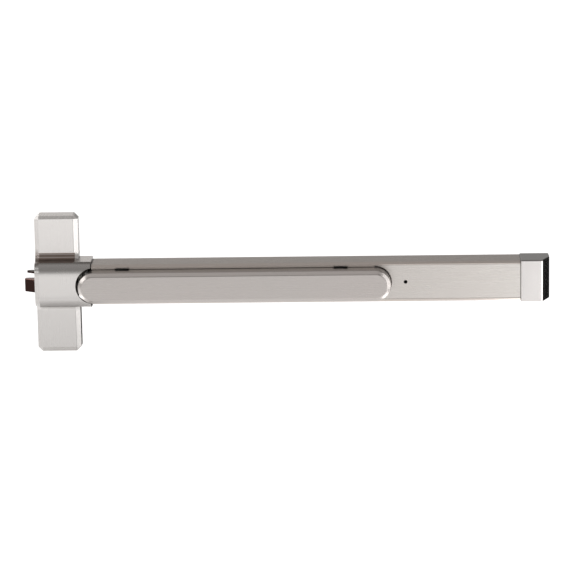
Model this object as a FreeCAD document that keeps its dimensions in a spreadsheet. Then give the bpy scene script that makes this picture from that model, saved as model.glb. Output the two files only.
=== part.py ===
import FreeCAD, Part
import math
import os
import re
import Sketcher
from FreeCAD import Placement, Rotation, Vector

# Rim exit device: a chassis with a sprung latch under a cast cover, a push pad in a channel rail,
# and the cranks and tie bar that turn the pad's push into the latch's pull.
# X runs along the rail away from the latch, +Y goes into the door, +Z is up.
# Depth is counted from the door towards the user, so a depth lies at minus Y.

doc = FreeCAD.newDocument("RimExitDevice")
sheet = doc.addObject("Spreadsheet::Sheet", "Sizes")

SIZES = (
    ("cover_width", 63.2, "head cover across its wings"),
    ("cover_height", 203.0, "head cover from top to bottom"),
    ("cover_drop", 2.8, "centre of the cover below the rail's centre line"),
    ("cover_skin", 2.5, "wall of the cast cover"),
    ("cover_seat", 0.7, "gap between the cover and the chassis"),
    ("wing_wall", 18.5, "depth of the wings' side walls"),
    ("wing_rise", 2.0, "rise of the bevel from wall to front face"),
    ("bevel_width", 6.4, "width of the bevel round the cover"),
    ("corner_cut", 6.5, "chamfer on the wings' corners"),
    ("saddle_gap", 1.7, "gap between the saddle and the rail"),
    ("saddle_proud", 10.5, "saddle in front of the rail"),
    ("hump_round", 16.0, "radius of the saddle's shoulders"),
    ("hump_root", 9.4, "fillet between saddle and wings"),
    ("cover_reach", 51.0, "end of the saddle over the rail"),
    ("cut_gap", 4.2, "gap between the pad's end and the cover's round cut"),
    ("notch_gap", 0.6, "gap round the bolts in the cover's side"),
    ("plate_thick", 3.0, "chassis plate and end bracket"),
    ("tongue_lap", 41.5, "chassis tongue under the rail"),
    ("tongue_height", 40.0, "height of that tongue"),
    ("bolt_side", 15.6, "chassis bolt holes from the cover's sides"),
    ("bolt_inset", 18.5, "chassis bolt holes from the cover's ends"),
    ("bolt_radius", 2.8, "bolt holes in chassis and end bracket"),
    ("tab_depth", 14.0, "chassis tabs that carry the cover"),
    ("tab_width", 24.0, "width of those tabs"),
    ("case_gap", 0.9, "gap between the latch case and the cover"),
    ("lid_gap", 0.8, "gap between the latch bolt and the lid"),
    ("case_floor", 2.8, "floor of the latch case"),
    ("case_wall", 6.0, "end wall of the latch case"),
    ("case_head", 5.9, "latch case above the deadlatch bolt"),
    ("case_sole", 7.3, "latch case below the latch bolt"),
    ("lid_thick", 2.5, "lid of the latch case"),
    ("case_screw_radius", 1.5, "case screws"),
    ("slide_gap", 0.2, "gap each side of a sliding bolt"),
    ("running_gap", 0.05, "gap of a pin or rod that turns or slides"),
    ("seat_gap", 0.02, "gap of a pin or rod that is fixed"),
    ("slot_gap", 0.3, "gap of a pin in a lever's slot"),
    ("latch_height", 19.0, "latch bolt up and down"),
    ("latch_drop", 6.2, "latch bolt's centre below the rail's centre line"),
    ("latch_throw", 17.0, "latch bolt beyond the cover, and its travel"),
    ("latch_depth", 21.5, "latch bolt front to back"),
    ("latch_tip", 8.0, "height of the latch nose's blunt tip"),
    ("latch_slope", 31.0, "slope of the nose, degrees"),
    ("latch_rear", -8.0, "rear end of the latch bolt"),
    ("rod_radius", 3.0, "latch rod"),
    ("rod_set", 11.0, "latch rod in front of the bolt's flat side"),
    ("rod_grip", 8.0, "rod's length inside the latch bolt"),
    ("latch_spring_radius", 5.6, "latch spring, middle of the wire"),
    ("latch_spring_wire", 1.4, "latch spring wire"),
    ("latch_spring_turns", 8.0, "latch spring turns"),
    ("dead_thick", 2.8, "deadlatch bolt"),
    ("bolt_space", 9.0, "space between the two bolts"),
    ("dead_reach", 12.9, "deadlatch bolt beyond the cover"),
    ("dead_travel", 12.0, "deadlatch bolt's travel"),
    ("dead_rear", -4.0, "rear end of the deadlatch bolt"),
    ("dead_rod_radius", 1.2, "deadlatch tail"),
    ("dead_spring_radius", 2.3, "deadlatch spring, middle of the wire"),
    ("dead_spring_wire", 0.8, "deadlatch spring wire"),
    ("dead_spring_turns", 9.0, "deadlatch spring turns"),
    ("clevis_start", 40.0, "clevis on the latch rod"),
    ("clevis_length", 16.0, "clevis along X"),
    ("clevis_size", 12.0, "clevis up and down and in depth"),
    ("rail_depth", 46.0, "front of the channel rail"),
    ("rail_skin", 2.0, "wall of the channel rail"),
    ("lip_bevel", 3.0, "bevel along the rail's front edges"),
    ("lip_face", 1.2, "flat front of the rail's lips"),
    ("lip_gap", 2.75, "gap between the pad and the rail's lips"),
    ("rail_lap", 17.5, "rail under the saddle"),
    ("end_bay", 23.5, "from the rail's end to the end cap's far end"),
    ("pad_start", 34.0, "round end of the pad by the cover"),
    ("pad_length", 450.4, "pad along X"),
    ("pad_height", 44.5, "pad up and down"),
    ("pad_proud", 29.0, "pad in front of the rail"),
    ("pad_bevel", 5.0, "bevel round the pad's front"),
    ("pad_skin", 1.6, "wall of the drawn pad"),
    ("pad_lap", 2.5, "pad's rear edge behind the rail's front"),
    ("pad_stroke", 19.0, "travel of the pad"),
    ("glide_length", 18.7, "glide along X"),
    ("glide_depth", 6.5, "glide front to back"),
    ("glide_proud", 5.0, "glide in front of the rail"),
    ("glide_play", 0.35, "gap between glide and lip"),
    ("glide_peg", 2.0, "radius of the glide's peg"),
    ("glide_inset_left", 63.0, "left glides from the pad's end"),
    ("glide_inset_right", 71.9, "right glides from the pad's end"),
    ("crank_inset_left", 81.0, "left crank's pivot from the pad's end"),
    ("crank_inset_right", 54.4, "right crank's pivot from the pad's end"),
    ("bar_clear", 0.5, "tie bar above the bracket's foot"),
    ("crank_swing", 30.0, "crank's turn each side of the middle, degrees"),
    ("crank_thick", 6.0, "crank up and down"),
    ("crank_arm_width", 8.0, "width of the crank's arms"),
    ("crank_hub_radius", 6.0, "crank's hub"),
    ("pivot_radius", 2.5, "crank pivot pin"),
    ("drive_radius", 2.0, "pins between crank, pad and tie bar"),
    ("pin_end", 1.0, "pins beyond the levers"),
    ("ear_clear_low", 1.05, "lower ear beyond the link pin"),
    ("ear_clear_high", 2.0, "upper ear beyond the drive pin"),
    ("ear_thick", 2.0, "bracket sheet"),
    ("ear_left", 8.0, "crank bracket's ear towards the latch"),
    ("ear_right", 12.0, "crank bracket's ear away from the latch"),
    ("ear_over", 5.5, "crank bracket's ears beyond the pivot"),
    ("foot_height", 38.0, "crank bracket's foot up and down"),
    ("return_spring_radius", 4.2, "return spring, middle of the wire"),
    ("return_spring_wire", 0.9, "return spring wire"),
    ("return_spring_turns", 4.0, "return spring turns"),
    ("peg_reach", 8.0, "spring peg on the crank from its pivot"),
    ("peg_radius", 1.2, "spring peg on the crank"),
    ("arm_clear", 1.0, "gap between the crank and the pad bracket's arm"),
    ("arm_thick", 2.5, "pad bracket's sheet"),
    ("arm_width", 16.0, "pad bracket's arm along X"),
    ("arm_margin", 3.0, "arm beyond its slot"),
    ("saddle_length", 40.0, "pad bracket's plate along X"),
    ("saddle_height", 32.0, "pad bracket's plate up and down"),
    ("bar_thick", 2.5, "tie bar"),
    ("bar_margin", 2.2, "tie bar beyond its slots"),
    ("bar_head", 29.0, "raised head of the tie bar at the clevis"),
    ("lug_thick", 3.0, "lug at the tie bar's end"),
    ("lug_over", 1.0, "lug in front of the hook"),
    ("dog_offset", 21.2, "dogging screw beyond the pad's end"),
    ("dog_hole_radius", 2.7, "key hole in the filler"),
    ("dog_shaft_radius", 3.0, "dogging screw's shaft"),
    ("dog_head_radius", 6.0, "dogging screw's head"),
    ("dog_head_set", 4.0, "screw's head behind the rail's front"),
    ("dog_head_gap", 0.5, "gap under the dogging screw's head"),
    ("dog_head_thick", 5.5, "dogging screw's head"),
    ("dog_socket", 4.2, "hexagon socket across flats"),
    ("dog_hub_radius", 4.6, "hook's hub"),
    ("hook_clear", 1.7, "gap between tie bar and hook"),
    ("hook_thick", 3.0, "hook"),
    ("hook_finger", 4.2, "width of the hook's finger"),
    ("hook_reach", 9.0, "finger beyond the shaft's centre"),
    ("hook_play", 0.3, "gap between finger and lug"),
    ("dog_ear_inside", 14.0, "half the space inside the dogging bracket"),
    ("dog_bracket_length", 28.0, "dogging bracket along X"),
    ("dog_foot_height", 46.0, "dogging bracket's foot up and down"),
    ("ring_thick", 1.0, "retaining ring"),
    ("filler_skin", 1.6, "filler sheet"),
    ("filler_play", 0.3, "gap between filler and lips"),
    ("filler_wall", 5.6, "filler's sides"),
    ("filler_foot", 2.2, "filler's feet behind the lips"),
    ("filler_gap", 2.75, "gap between the pad's end and the filler's round cut"),
    ("cap_end", 713.5, "end cap's far end"),
    ("cap_length", 41.9, "end cap along X"),
    ("cap_gap", 0.2, "gap between the end cap and the rail"),
    ("cap_proud", 4.0, "end cap in front of the rail"),
    ("cap_skin", 1.2, "end cap's wall"),
    ("cap_slope_run", 11.3, "end cap's slope along X"),
    ("cap_slope_depth", 26.0, "end cap's slope in depth"),
    ("cap_round", 1.6, "rounded edges of the end cap"),
    ("end_plate_lap", 50.0, "end bracket under the rail"),
    ("end_plate_gap", 2.8, "gap between the end bracket and the cap's end"),
    ("end_plate_inset", 3.2, "end bracket's edges from the rail's sides"),
    ("end_bolt_edge", 8.5, "end bracket's bolt holes from its far edge"),
    ("end_bolt_spacing", 32.0, "end bracket's bolt holes up and down"),
    ("end_tab_depth", 20.0, "end bracket's tab for the cap's screw"),
    ("trim_screw_radius", 1.6, "screws of cover and end cap"),
    ("rail_screw_radius", 1.9, "screws of the rail"),
    ("rail_screw_spacing", 28.0, "rail screws up and down"),
    ("rail_screw_left", 28.5, "rail screws on the tongue from the rail's end"),
    ("rail_screw_right", 35.0, "rail screws on the end bracket from the rail's end"),
    ("rivet_radius", 1.6, "rivets of the brackets"),
)

for row, (alias, amount, note) in enumerate(SIZES, start=1):
    sheet.set(f"A{row}", alias)
    sheet.set(f"B{row}", str(amount))
    sheet.set(f"C{row}", note)
    sheet.setAlias(f"B{row}", alias)
doc.recompute()

# Lengths that several pieces share, each written from the sheet's values.
SHARED = {
    "cover_left": "0 - cover_width / 2",
    "cover_top": "cover_height / 2 - cover_drop",
    "cover_bottom": "0 - cover_height / 2 - cover_drop",
    "lip_edge": "pad_height / 2 + lip_gap",
    "rail_half": "@lip_edge + lip_face + lip_bevel",
    "rail_inside": "@rail_half - rail_skin",
    "rail_start": "cover_reach - rail_lap",
    "rail_end": "cap_end - end_bay",
    "web_back": "plate_thick",
    "web_front": "plate_thick + rail_skin",
    "saddle_half": "@rail_half + saddle_gap + cover_skin",
    "saddle_front": "rail_depth + saddle_proud",
    "pad_end": "pad_start + pad_length",
    "pad_front": "rail_depth + pad_proud",
    "pad_back": "rail_depth - pad_lap",
    "latch_z": "0 - latch_drop",
    "latch_low": "@latch_z - latch_height / 2",
    "latch_high": "@latch_z + latch_height / 2",
    "latch_back": "plate_thick + case_floor + slide_gap",
    "latch_front": "@latch_back + latch_depth",
    "rod_level": "@latch_back + rod_set",
    "dead_z": "@latch_high + bolt_space + dead_thick / 2",
    "dead_low": "@dead_z - dead_thick / 2",
    "dead_high": "@dead_z + dead_thick / 2",
    "case_right": "cover_width / 2 - cover_skin - case_gap",
    "case_left": "0 - @case_right",
    "case_front": "@latch_front + lid_gap",
    "case_top": "@dead_high + case_head",
    "case_bottom": "@latch_low - case_sole",
    "push_arm": "pad_stroke / 2 / sin(crank_swing)",
    "pull_arm": "latch_throw / 2 / sin(crank_swing)",
    "pull_half": "latch_throw / 2",
    "link_low": "@web_front + ear_thick + bar_clear + bar_margin + slot_gap + drive_radius",
    "crank_level": "@link_low + @pull_arm",
    "link_high": "@crank_level - @pull_arm * cos(crank_swing)",
    "bar_low": "@link_low - drive_radius - slot_gap - bar_margin",
    "bar_high": "@link_high + drive_radius + slot_gap + bar_margin",
    "arm_low": "crank_thick / 2 + arm_clear",
    "ear_low": "latch_drop + bar_thick / 2 + pin_end + ear_clear_low",
    "ear_high": "@arm_low + arm_thick + pin_end + ear_clear_high",
    "ear_top": "@crank_level + ear_over",
    "crank_left": "pad_start + crank_inset_left",
    "crank_right": "@pad_end - crank_inset_right",
    "glide_left": "pad_start + glide_inset_left",
    "glide_right": "@pad_end - glide_inset_right",
    "dog_centre": "@pad_end + dog_offset",
    "dog_head_top": "rail_depth - dog_head_set",
    "dog_top": "@dog_head_top - dog_head_thick - dog_head_gap",
    "dog_plate": "@dog_top - ear_thick",
    "hook_low": "@bar_high + hook_clear",
    "lug_top": "@hook_low + hook_thick + lug_over",
    "lug_start": "@dog_centre - hook_finger + hook_play - dog_hub_radius + 0.7 - latch_throw",
    "cap_start": "cap_end - cap_length",
    "cap_half": "@rail_half + cap_gap + cap_skin",
    "cap_front": "rail_depth + cap_proud",
    "end_plate_start": "@rail_end - end_plate_lap",
    "end_plate_reach": "cap_end - cap_skin - end_plate_gap",
    "end_plate_half": "@rail_half - end_plate_inset",
    "end_bolts": "@end_plate_reach - end_bolt_edge",
    "screws_left": "@rail_start + rail_screw_left",
    "screws_right": "@rail_end - rail_screw_right",
    "tongue_end": "@rail_start + tongue_lap",
}


def spelled_out(text):
    """Put the shared lengths' own expressions in their place."""
    return re.sub("@([a-z_]+)", lambda mark: "(" + spelled_out(SHARED[mark.group(1)]) + ")", text)


def formula(text):
    """Write an expression on the sheet's aliases, which are the words with an underscore."""
    return re.sub(r"\b[a-z]+(?:_[a-z]+)+\b", lambda word: "Sizes." + word.group(0), spelled_out(text))


def number(text):
    """Work out such an expression."""
    return float(sheet.evalExpression(formula(text)))


def place(item, x, depth, z):
    """Bind an object's position, given with its depth from the door."""
    item.setExpression("Placement.Base.x", formula(x))
    item.setExpression("Placement.Base.y", formula(f"0 - ({depth})"))
    item.setExpression("Placement.Base.z", formula(z))
    return item


def block(name, x, depth, z):
    """A box between two values of x, of depth and of z."""
    box = doc.addObject("Part::Box", name)
    for side, (low, high) in zip(("Length", "Width", "Height"), (x, depth, z)):
        box.setExpression(side, formula(f"({high}) - ({low})"))
    return place(box, x[0], depth[1], z[0])


TURNS = {
    "x": Rotation(Vector(0, 1, 0), 90),
    "y": Rotation(Vector(1, 0, 0), 90),
    "z": Rotation(),
}


def rod(name, along, radius, start, end, first, second):
    """A cylinder along x, along y from the lower to the higher depth, or along z."""
    pin = doc.addObject("Part::Cylinder", name)
    pin.setExpression("Radius", formula(radius))
    pin.setExpression("Height", formula(f"({end}) - ({start})"))
    pin.Placement = Placement(Vector(), TURNS[along])
    spot = {
        "x": (start, first, second),
        "y": (first, start, second),
        "z": (first, second, start),
    }[along]
    return place(pin, *spot)


def joined(name, pieces):
    """Fuse several shapes."""
    whole = doc.addObject("Part::MultiFuse", name)
    whole.Shapes = pieces
    whole.Refine = True
    return whole


def cut(name, base, tools):
    """Take one or more shapes out of another."""
    result = doc.addObject("Part::Cut", name)
    result.Base = base
    result.Tool = tools[0] if len(tools) == 1 else joined(name + "_tools", tools)
    result.Refine = True
    return result


def drawing(body, name, role, offset):
    """A sketch on one of a body's own origin planes, moved along the plane's normal."""
    sketch = body.newObject("Sketcher::SketchObject", name)
    plane = next(item for item in body.Origin.OriginFeatures if item.Role == role)
    sketch.AttachmentSupport = [(plane, "")]
    sketch.MapMode = "FlatFace"
    sketch.setExpression("AttachmentOffset.Base.z", formula(offset))
    return sketch


def pin_point(sketch, edge, end, x, y):
    """Bind one point of a sketch to the origin by two lengths."""
    for kind, text in (("DistanceX", x), ("DistanceY", y)):
        index = sketch.addConstraint(Sketcher.Constraint(kind, -1, 1, edge, end, number(text)))
        sketch.setExpression(f"Constraints[{index}]", formula(text))


def outline(sketch, points):
    """A closed outline of straight edges through points given as expressions."""
    spots = [Vector(number(x), number(y), 0) for x, y in points]
    first = sketch.GeometryCount
    for start, end in zip(spots, spots[1:] + spots[:1]):
        sketch.addGeometry(Part.LineSegment(start, end), False)
    for index in range(len(spots)):
        following = first + (index + 1) % len(spots)
        sketch.addConstraint(Sketcher.Constraint("Coincident", first + index, 2, following, 1))
    for index, (x, y) in enumerate(points):
        pin_point(sketch, first + index, 1, x, y)


def ring(sketch, x, y, radius):
    """A circle bound by its centre and radius."""
    circle = Part.Circle(Vector(number(x), number(y), 0), Vector(0, 0, 1), number(radius))
    edge = sketch.addGeometry(circle, False)
    pin_point(sketch, edge, 3, x, y)
    index = sketch.addConstraint(Sketcher.Constraint("Radius", edge, number(radius)))
    sketch.setExpression(f"Constraints[{index}]", formula(radius))


def raised(body, sketch, length):
    """Pad a sketch along its normal."""
    pad = body.newObject("PartDesign::Pad", sketch.Name + "_pad")
    pad.Profile = sketch
    pad.setExpression("Length", formula(length))
    body.Tip = pad
    return pad


def prism(name, role, points, start, length, holes=()):
    """A body padded from one outline with round holes in it.

    On XY_Plane the outline is x and y and the pad goes up, on YZ_Plane it is y and z and the pad
    goes along x, and on XZ_Plane it is x and z and the pad goes towards the user.
    """
    body = doc.addObject("PartDesign::Body", name)
    sketch = drawing(body, name + "_sketch", role, start)
    outline(sketch, points)
    for hole in holes:
        ring(sketch, *hole)
    raised(body, sketch, length)
    return body


def stadium(name, left, right, radius, back, front, bevel):
    """A body with two half-round ends and a bevel round its front."""
    body = doc.addObject("PartDesign::Body", name)
    sketch = drawing(body, name + "_sketch", "XZ_Plane", back)
    a, b, r = number(left), number(right), number(radius)
    up = Vector(0, 0, 1)
    quarter = math.pi / 2
    sketch.addGeometry(Part.ArcOfCircle(Part.Circle(Vector(a, 0, 0), up, r), quarter, 3 * quarter), False)
    sketch.addGeometry(Part.LineSegment(Vector(a, -r, 0), Vector(b, -r, 0)), False)
    sketch.addGeometry(Part.ArcOfCircle(Part.Circle(Vector(b, 0, 0), up, r), -quarter, quarter), False)
    sketch.addGeometry(Part.LineSegment(Vector(b, r, 0), Vector(a, r, 0)), False)
    for first, second in ((0, 1), (1, 2), (2, 3), (3, 0)):
        sketch.addConstraint(Sketcher.Constraint("Tangent", first, 2, second, 1))
    pin_point(sketch, 0, 3, left, "0")
    index = sketch.addConstraint(Sketcher.Constraint("DistanceX", -1, 1, 2, 3, b))
    sketch.setExpression(f"Constraints[{index}]", formula(right))
    index = sketch.addConstraint(Sketcher.Constraint("Radius", 0, r))
    sketch.setExpression(f"Constraints[{index}]", formula(radius))
    sketch.addConstraint(Sketcher.Constraint("Horizontal", 1))
    pad = raised(body, sketch, f"({front}) - ({back})")
    doc.recompute()
    face = number(front)
    edges = [
        f"Edge{index}"
        for index, edge in enumerate(pad.Shape.Edges, start=1)
        if all(abs(spot.Point.y + face) < 1e-6 for spot in edge.Vertexes)
    ]
    chamfer = body.newObject("PartDesign::Chamfer", name + "_bevel")
    chamfer.Base = (pad, edges)
    chamfer.setExpression("Size", formula(bevel))
    body.Tip = chamfer
    return body


parts = {}


def keep(name, item):
    """Give a finished sub-part its name."""
    item.Label = name
    parts[name] = item
    return item


def screw(name, along, radius, start, end, first, second, head_radius, head_height, outward):
    """A pan-head screw: its head stands on the start, and the shank ends at the end."""
    low, high = (start, end) if outward < 0 else (end, start)
    shank = rod(name + "_shank", along, radius, low, high, first, second)
    if outward < 0:
        head = rod(name + "_head", along, head_radius, f"({start}) - ({head_height})", start, first, second)
    else:
        head = rod(name + "_head", along, head_radius, start, f"({start}) + ({head_height})", first, second)
    return joined(name, [shank, head])


# Head cover: two wings with a bevel all round, and a saddle that reaches over the rail.

def saddle_outline(inset, rise, back, x):
    """The cover's side outline, drawn in by an inset, at one value of x."""
    front = number("wing_wall + wing_rise") - inset - rise
    half = number("@saddle_half")
    root = number("hump_root")
    turn = number("hump_round")
    nose = number("@saddle_front")
    top = number("@cover_top") - inset
    bottom = number("@cover_bottom") + inset
    root_depth = front + inset + rise + root
    drawn_in = inset + rise
    half_way = math.sqrt(0.5)

    def spot(depth, z):
        return Vector(x, -depth, z)

    def arc(centre_depth, centre_z, radius, start, end):
        middle = spot(
            centre_depth + radius * half_way * (1 if radius == turn - drawn_in else -1),
            centre_z + radius * half_way * (1 if (centre_z > 0) == (radius == turn - drawn_in) else -1),
        )
        return Part.Arc(start, middle, end).toShape()

    corner_depth = nose - turn
    corner_z = half - turn
    root_z = half + root
    points = []
    for side in (1, -1):
        points.append((
            spot(front, side * root_z),
            spot(root_depth, side * (half - drawn_in)),
            spot(corner_depth, side * (half - drawn_in)),
            spot(nose - drawn_in, side * corner_z),
        ))
    upper, lower = points
    edges = [
        Part.makeLine(spot(back, top), spot(front, top)),
        Part.makeLine(spot(front, top), upper[0]),
        arc(root_depth, root_z, root + drawn_in, upper[0], upper[1]),
        Part.makeLine(upper[1], upper[2]),
        arc(corner_depth, corner_z, turn - drawn_in, upper[2], upper[3]),
        Part.makeLine(upper[3], lower[3]),
        arc(corner_depth, -corner_z, turn - drawn_in, lower[3], lower[2]),
        Part.makeLine(lower[2], lower[1]),
        arc(root_depth, -root_z, root + drawn_in, lower[1], lower[0]),
        Part.makeLine(lower[0], spot(front, bottom)),
        Part.makeLine(spot(front, bottom), spot(back, bottom)),
        Part.makeLine(spot(back, bottom), spot(back, top)),
    ]
    return Part.Wire(edges)


def wedge(corners, across):
    """A prism on a flat outline."""
    return Part.Face(Part.makePolygon(corners + corners[:1])).extrude(across)


def wings(inset, back):
    """The wings and the saddle between them, with their bevels and cut corners."""
    half_width = number("cover_width / 2") - inset
    rise = number("wing_rise")
    bevel = number("bevel_width")
    wall = number("wing_wall") - inset
    top = number("@cover_top") - inset
    bottom = number("@cover_bottom") + inset
    chamfer = number("corner_cut") - inset * (2 - math.sqrt(2))
    stations = ((-half_width, rise), (-half_width + bevel, 0), (half_width - bevel, 0), (half_width, rise))
    solid = Part.makeLoft([saddle_outline(inset, drop, back, x) for x, drop in stations], True, True)
    for edge_z, side in ((top, 1), (bottom, -1)):
        slope = [
            Vector(-half_width - 1, -wall, edge_z),
            Vector(-half_width - 1, -wall - 2 * rise, edge_z - side * 2 * bevel),
            Vector(-half_width - 1, -wall - 2 * rise, edge_z + side * bevel),
            Vector(-half_width - 1, -wall, edge_z + side * bevel),
        ]
        solid = solid.cut(wedge(slope, Vector(2 * half_width + 2, 0, 0)))
        for hand in (1, -1):
            outward = Vector(hand, 0, side).normalize()
            along = Vector(side, 0, -hand).normalize()
            corner = Vector(hand * half_width, 0, edge_z)
            start = corner - outward * (chamfer / math.sqrt(2))
            prism_foot = [
                start + along * 2 * chamfer - Vector(0, back - 1, 0),
                start - along * 2 * chamfer - Vector(0, back - 1, 0),
                start - along * 2 * chamfer + outward * chamfer - Vector(0, back - 1, 0),
                start + along * 2 * chamfer + outward * chamfer - Vector(0, back - 1, 0),
            ]
            solid = solid.cut(wedge(prism_foot, Vector(0, -wall - 4 * rise + back - 1, 0)))
            inner = corner - outward * (bevel * math.sqrt(2)) - Vector(0, wall + rise, 0)
            outer = start - Vector(0, wall, 0)
            reach = outer - inner
            facet = [
                inner - reach * 0.2 + along * 3 * chamfer,
                outer + reach * 0.5 + along * 3 * chamfer,
                outer + reach * 0.5 - Vector(0, 4 * rise, 0) + along * 3 * chamfer,
                inner - reach * 0.2 - Vector(0, 4 * rise, 0) + along * 3 * chamfer,
            ]
            solid = solid.cut(wedge(facet, -along * 6 * chamfer))
    return solid


def saddle_arm(inset, back, end):
    """The saddle's reach over the rail."""
    half = number("@saddle_half") - inset
    nose = number("@saddle_front") - inset
    turn = number("hump_round") - inset
    box = Part.makeBox(end, nose - back, 2 * half, Vector(0, -nose, -half))
    edges = [
        edge for edge in box.Edges
        if abs(edge.CenterOfMass.y + nose) < 1e-6 and abs(abs(edge.CenterOfMass.z) - half) < 1e-6
    ]
    return box.makeFillet(turn, edges)


def head_cover():
    skin = number("cover_skin")
    reach = number("cover_reach")
    open_back = -1.0
    shell = wings(0, 0).fuse(saddle_arm(0, 0, reach)).removeSplitter()
    shell = shell.cut(wings(skin, open_back))
    shell = shell.cut(saddle_arm(skin, open_back, reach + 1))
    pad_radius = number("pad_height / 2")
    centre = Vector(number("pad_start") + pad_radius, -number("@saddle_front") - 1, 0)
    depth = number("saddle_proud") + 1
    shell = shell.cut(Part.makeCylinder(pad_radius + number("cut_gap"), depth, centre, Vector(0, 1, 0)))
    gap = number("notch_gap")
    low = number("@latch_low") - gap
    high = number("@dead_high") + gap
    left = number("@cover_left")
    notch = Part.makeBox(skin + 2, number("@case_front") + 1, high - low, Vector(left - 1, -number("@case_front"), low))
    shell = shell.cut(notch)
    hole = Part.makeCylinder(
        number("trim_screw_radius + 0.2"), skin + 2,
        Vector(0, -number("tab_depth / 2 + plate_thick / 2"), number("@cover_bottom") - 1), Vector(0, 0, 1),
    )
    cover = doc.addObject("Part::Feature", "head_cover")
    cover.Shape = shell.cut(hole)
    return cover


keep("head_cover", head_cover())

# Chassis plate: it lies on the door, carries the cover on two tabs and the rail on its tongue.

plate_half = "(cover_width / 2 - cover_skin - cover_seat)"
plate_top = "(@cover_top - cover_skin - cover_seat)"
plate_bottom = "(@cover_bottom + cover_skin + cover_seat)"
plate_sheet = prism(
    "chassis_sheet", "XZ_Plane",
    [
        (f"0 - {plate_half}", f"{plate_bottom} + corner_cut"),
        (f"corner_cut - {plate_half}", plate_bottom),
        (f"{plate_half} - corner_cut", plate_bottom),
        (plate_half, f"{plate_bottom} + corner_cut"),
        (plate_half, "0 - tongue_height / 2"),
        ("@tongue_end", "0 - tongue_height / 2"),
        ("@tongue_end", "tongue_height / 2"),
        (plate_half, "tongue_height / 2"),
        (plate_half, f"{plate_top} - corner_cut"),
        (f"{plate_half} - corner_cut", plate_top),
        (f"corner_cut - {plate_half}", plate_top),
        (f"0 - {plate_half}", f"{plate_top} - corner_cut"),
    ],
    "0", "plate_thick",
    holes=[
        (f"{hand} * (cover_width / 2 - bolt_side)", f"{side} * (cover_height / 2 - bolt_inset) - cover_drop",
         "bolt_radius")
        for hand in (-1, 1) for side in (-1, 1)
    ] + [("@screws_left", f"{side} * rail_screw_spacing / 2", "rail_screw_radius") for side in (-1, 1)],
)
tabs = [
    block(
        f"chassis_tab_{which}", ("0 - tab_width / 2", "tab_width / 2"), ("0", "tab_depth"),
        (edge, f"{edge} {sign} plate_thick") if sign == "+" else (f"{edge} - plate_thick", edge),
    )
    for which, edge, sign in (("top", plate_top, "-"), ("bottom", plate_bottom, "+"))
]
cover_screw_depth = "(tab_depth / 2 + plate_thick / 2)"
case_screw_spots = [
    (hand_x, side_z)
    for hand_x in ("(@case_left + 4.2)", "(@case_right - case_wall / 2)")
    for side_z in ("(@case_top - 2.7)", "(@case_bottom + 3.4)")
]
keep("chassis_plate", cut(
    "chassis_plate", joined("chassis_body", [plate_sheet] + tabs),
    [rod("cover_tap", "z", "trim_screw_radius", plate_bottom + " - 1", f"{plate_bottom} + plate_thick + 1",
         "0", cover_screw_depth)]
    + [rod(f"case_tap_{index}", "y", "case_screw_radius", "0 - 1", "plate_thick + 1", x, z)
       for index, (x, z) in enumerate(case_screw_spots)],
))

# Latch case: guides for the latch bolt and the deadlatch bolt, open to the front under a lid.

case_floor_depth = "(plate_thick + case_floor)"
pocket_end = "(@case_right - case_wall)"
spring_space = "(dead_spring_radius + dead_spring_wire)"
case_block = block("case_block", ("@case_left", "@case_right"), ("plate_thick", "@case_front"),
                   ("@case_bottom", "@case_top"))
case_tools = [
    block("latch_pocket", ("@case_left - 1", pocket_end), (case_floor_depth, "@case_front + 1"),
          ("@latch_low - slide_gap", "@latch_high + slide_gap")),
    block("dead_pocket", ("@case_left - 1", "dead_rear + dead_travel + 2"), (case_floor_depth, "@case_front + 1"),
          ("@dead_low - slide_gap", "@dead_high + slide_gap")),
    block("dead_spring_pocket", ("dead_rear", pocket_end),
          (f"@rod_level - {spring_space}", "@case_front + 1"),
          (f"@dead_z - {spring_space}", f"@dead_z + {spring_space}")),
    rod("rod_bore", "x", "rod_radius + running_gap", "@case_right - case_wall - 1", "@case_right + 1",
        "@rod_level", "@latch_z"),
    rod("dead_bore", "x", "dead_rod_radius + running_gap", "@case_right - case_wall - 1", "@case_right + 1",
        "@rod_level", "@dead_z"),
] + [
    rod(f"case_hole_{index}", "y", "case_screw_radius + seat_gap", "0", "@case_front + 1", x, z)
    for index, (x, z) in enumerate(case_screw_spots)
]
keep("latch_case", cut("latch_case", case_block, case_tools))
keep("latch_case_lid", prism(
    "latch_case_lid", "XZ_Plane",
    [("@case_left", "@case_bottom"), ("@case_right", "@case_bottom"),
     ("@case_right", "@case_top"), ("@case_left", "@case_top")],
    "@case_front", "lid_thick",
    holes=[(x, z, "case_screw_radius + seat_gap") for x, z in case_screw_spots],
))
keep("case_screws", joined("case_screws", [
    screw(f"case_screw_{index}", "y", "case_screw_radius - seat_gap", "@case_front + lid_thick", "0.4",
          x, z, "2.6", "1.8", 1)
    for index, (x, z) in enumerate(case_screw_spots)
]))


def nose_points(tip, back, front, tip_high, rear):
    """Plan of a spring bolt: flat towards the door, sloping on the user's side of its nose."""
    slope_run = f"(({front}) - ({back}) - ({tip_high})) / tan(latch_slope)"
    return [
        (rear, f"0 - ({back})"),
        (rear, f"0 - ({front})"),
        (f"({tip}) + {slope_run}", f"0 - ({front})"),
        (tip, f"0 - ({back}) - ({tip_high})"),
        (tip, f"0 - ({back}) - 2.5"),
        (f"({tip}) + 2.5", f"0 - ({back})"),
    ]


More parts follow.
